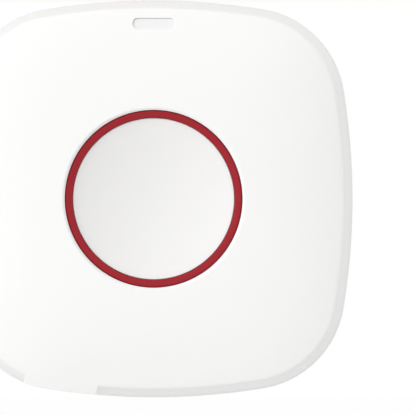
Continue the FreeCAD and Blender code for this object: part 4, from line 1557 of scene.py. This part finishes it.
@dataclass(frozen=True)
class Studio:
    """Camera, floor, soft lights and the white surroundings."""

    camera_x: float = 10.08
    camera_y: float = -2613.8
    camera_z: float = -1.63
    lens: float = 1200.0
    clip_start: float = 0.05
    clip_end: float = 100.0
    floor_level: float = -120.0
    floor_size: float = 12.0
    floor_grey: float = 0.85
    floor_glow: float = 1.05
    floor_white_share: float = 0.8
    from_left: float = 0.04
    from_right: float = 0.66
    from_above: float = 1.18
    from_below: float = 0.58
    from_front: float = 1.185
    from_behind: float = 0.42
    key_power: float = 9.9
    key_distance: float = 1.6
    key_size: float = 0.9
    key_aside_deg: float = 65.0
    key_lift_deg: float = 12.0

    def camera(self) -> None:
        """Place the camera straight in front, where the photograph was taken from."""
        lens = bpy.data.cameras.new("camera")
        lens.lens = self.lens
        lens.clip_start = self.clip_start
        lens.clip_end = self.clip_end
        holder = bpy.data.objects.new("camera", lens)
        holder.location = Vector((self.camera_x, self.camera_y, self.camera_z)) * MM
        holder.rotation_euler = (QUARTER_TURN, 0.0, 0.0)
        bpy.context.scene.collection.objects.link(holder)
        bpy.context.scene.camera = holder

    def background_rays(self, wiring: Wiring) -> Socket:
        """Mask of the rays that see the plain white background.

        Args:
            wiring: The nodes of the world or of the floor's material.

        Returns:
            1 for such a ray, otherwise 0.
        """
        path = wiring.node("ShaderNodeLightPath").outputs
        seen = wiring.math("MAXIMUM", path["Is Camera Ray"], path["Is Glossy Ray"])
        return wiring.math("MAXIMUM", seen, path["Is Transmission Ray"])

    def surroundings(self) -> None:
        """Light the scene softly from all six sides, each with its own strength, in front of plain white."""
        world = bpy.data.worlds.new("studio")
        bpy.context.scene.world = world
        world.use_nodes = True
        world.node_tree.nodes.clear()
        wiring = Wiring(world.node_tree)
        direction = wiring.node("ShaderNodeTexCoord").outputs["Generated"]
        apart = wiring.node("ShaderNodeSeparateXYZ", {"Vector": direction}).outputs
        level: object = 0.0
        sides = (
            ("X", self.from_left, self.from_right),
            ("Y", self.from_front, self.from_behind),
            ("Z", self.from_below, self.from_above),
        )
        for axis, low_side, high_side in sides:
            share = wiring.math("MULTIPLY", apart[axis], apart[axis])
            positive = wiring.math("GREATER_THAN", apart[axis], 0.0)
            change = wiring.math("MULTIPLY", positive, high_side - low_side)
            strength = wiring.math("ADD", change, low_side)
            level = wiring.math("ADD", wiring.math("MULTIPLY", share, strength), level)
        soft = wiring.node("ShaderNodeBackground", {"Color": PLAIN_WHITE, "Strength": level}).outputs[0]
        plain = wiring.node("ShaderNodeBackground", {"Color": PLAIN_WHITE, "Strength": 1.0}).outputs[0]
        chosen = wiring.node("ShaderNodeMixShader", {0: self.background_rays(wiring), 1: soft, 2: plain})
        wiring.node("ShaderNodeOutputWorld", {"Surface": chosen.outputs[0]})

    def floor(self) -> None:
        """Lay the pale floor under the object; it shows white and keeps the object's soft shadow."""
        made = bpy.data.materials.new("pale_floor")
        made.use_nodes = True
        made.node_tree.nodes.clear()
        wiring = Wiring(made.node_tree)
        grey = (*[self.floor_grey] * 3, 1.0)
        matte = wiring.node("ShaderNodeBsdfDiffuse", {"Color": grey}).outputs[0]
        lit = {"Color": PLAIN_WHITE, "Strength": self.floor_glow}
        glow = wiring.node("ShaderNodeEmission", lit).outputs[0]
        share = wiring.math("MULTIPLY", self.background_rays(wiring), self.floor_white_share)
        chosen = wiring.node("ShaderNodeMixShader", {0: share, 1: matte, 2: glow})
        wiring.node("ShaderNodeOutputMaterial", {"Surface": chosen.outputs[0]})

        half = self.floor_size / 2
        mesh = bpy.data.meshes.new("floor")
        corners = [(sx * half, sy * half, self.floor_level * MM) for sx, sy in AROUND_SIGNS]
        mesh.from_pydata(corners, [], [(0, 1, 2, 3)])
        mesh.materials.append(made)
        new_object("floor", mesh)

    def key_light(self) -> None:
        """Hang the broad soft light at the upper left."""
        aside = math.radians(self.key_aside_deg)
        lift = math.radians(self.key_lift_deg)
        left, up = math.sin(aside) * math.cos(lift), math.sin(aside) * math.sin(lift)
        toward = Vector((-left, -math.cos(aside), up))
        lamp = bpy.data.lights.new("key", "AREA")
        lamp.shape = "DISK"
        lamp.size = self.key_size
        lamp.energy = self.key_power
        holder = bpy.data.objects.new("key", lamp)
        holder.location = toward * self.key_distance
        holder.rotation_euler = toward.to_track_quat("Z", "Y").to_euler()
        holder.visible_camera = False
        bpy.context.scene.collection.objects.link(holder)

    def build(self) -> None:
        """Set up everything that isn't the object."""
        bpy.context.scene.view_settings.view_transform = "Standard"
        self.camera()
        self.surroundings()
        self.floor()
        self.key_light()


Assembly = FrontCover | TrimRing | Button | ReturnSpring | WallPanel | LightPipe | ChipRow | BoardScrews


def assemblies() -> list[Assembly]:
    """Size each sub-assembly from the frame.

    Returns:
        The sub-assemblies in the order in which they are built.
    """
    cover_low, cover_high = lying_box("front_cover")
    panel_high = lying_box("rear_panel")[1]
    ring_low, ring_high = lying_box("trim_ring")
    cap_low, cap_high = lying_box("button_cap")
    window_low, window_high = lying_box("indicator_window")
    spring_low, spring_high = lying_box("return_spring")
    stem_high = lying_box("switch_stem")[1]
    board_high = lying_box("circuit_board")[1]
    screws_low, screws_high = lying_box("board_screws")
    outline = Outline(half_width=panel_high.x)
    crown = Crown(top=cover_high.z)
    slot = Slot(centre_y=(window_low.y + window_high.y) / 2)
    screw_reach = screws_high.x - BoardScrews.head_radius
    well_bottom = FrontCover.well_bottom
    return [
        FrontCover(
            outline, crown, slot, cover_low.z, ring_high.x, ring_low.z, ring_high.z, screw_reach, board_high.z
        ),
        TrimRing(ring_high.x, ring_low.z, ring_high.z),
        Button(cap_high.x, cap_high.z, well_bottom, stem_high.z, cap_low.z),
        ReturnSpring(well_bottom, spring_high.z + (spring_low.z - well_bottom)),
        WallPanel(),
        LightPipe(crown, slot),
        ChipRow("board_capacitors", "capacitor_row", "capacitor_ceramic", CERAMIC_TAN, count=4, pitch=3.4),
        ChipRow("board_resistors", "resistor_row", "package_resin", RESIN_BLACK, count=6, pitch=2.2),
        BoardScrews(screw_reach, screws_low.z, screws_high.z),
    ]


def main() -> None:
    """Build the scene and report each piece."""
    logging.basicConfig(level=logging.INFO, format="%(name)s: %(message)s")
    Studio().build()
    for assembly in assemblies():
        piece = assembly.build()
        LOG.info("%s: %s, %d faces", type(assembly).__name__, piece.name, len(piece.data.polygons))
    dress_cad_nodes()


if __name__ == "__main__":
    main()
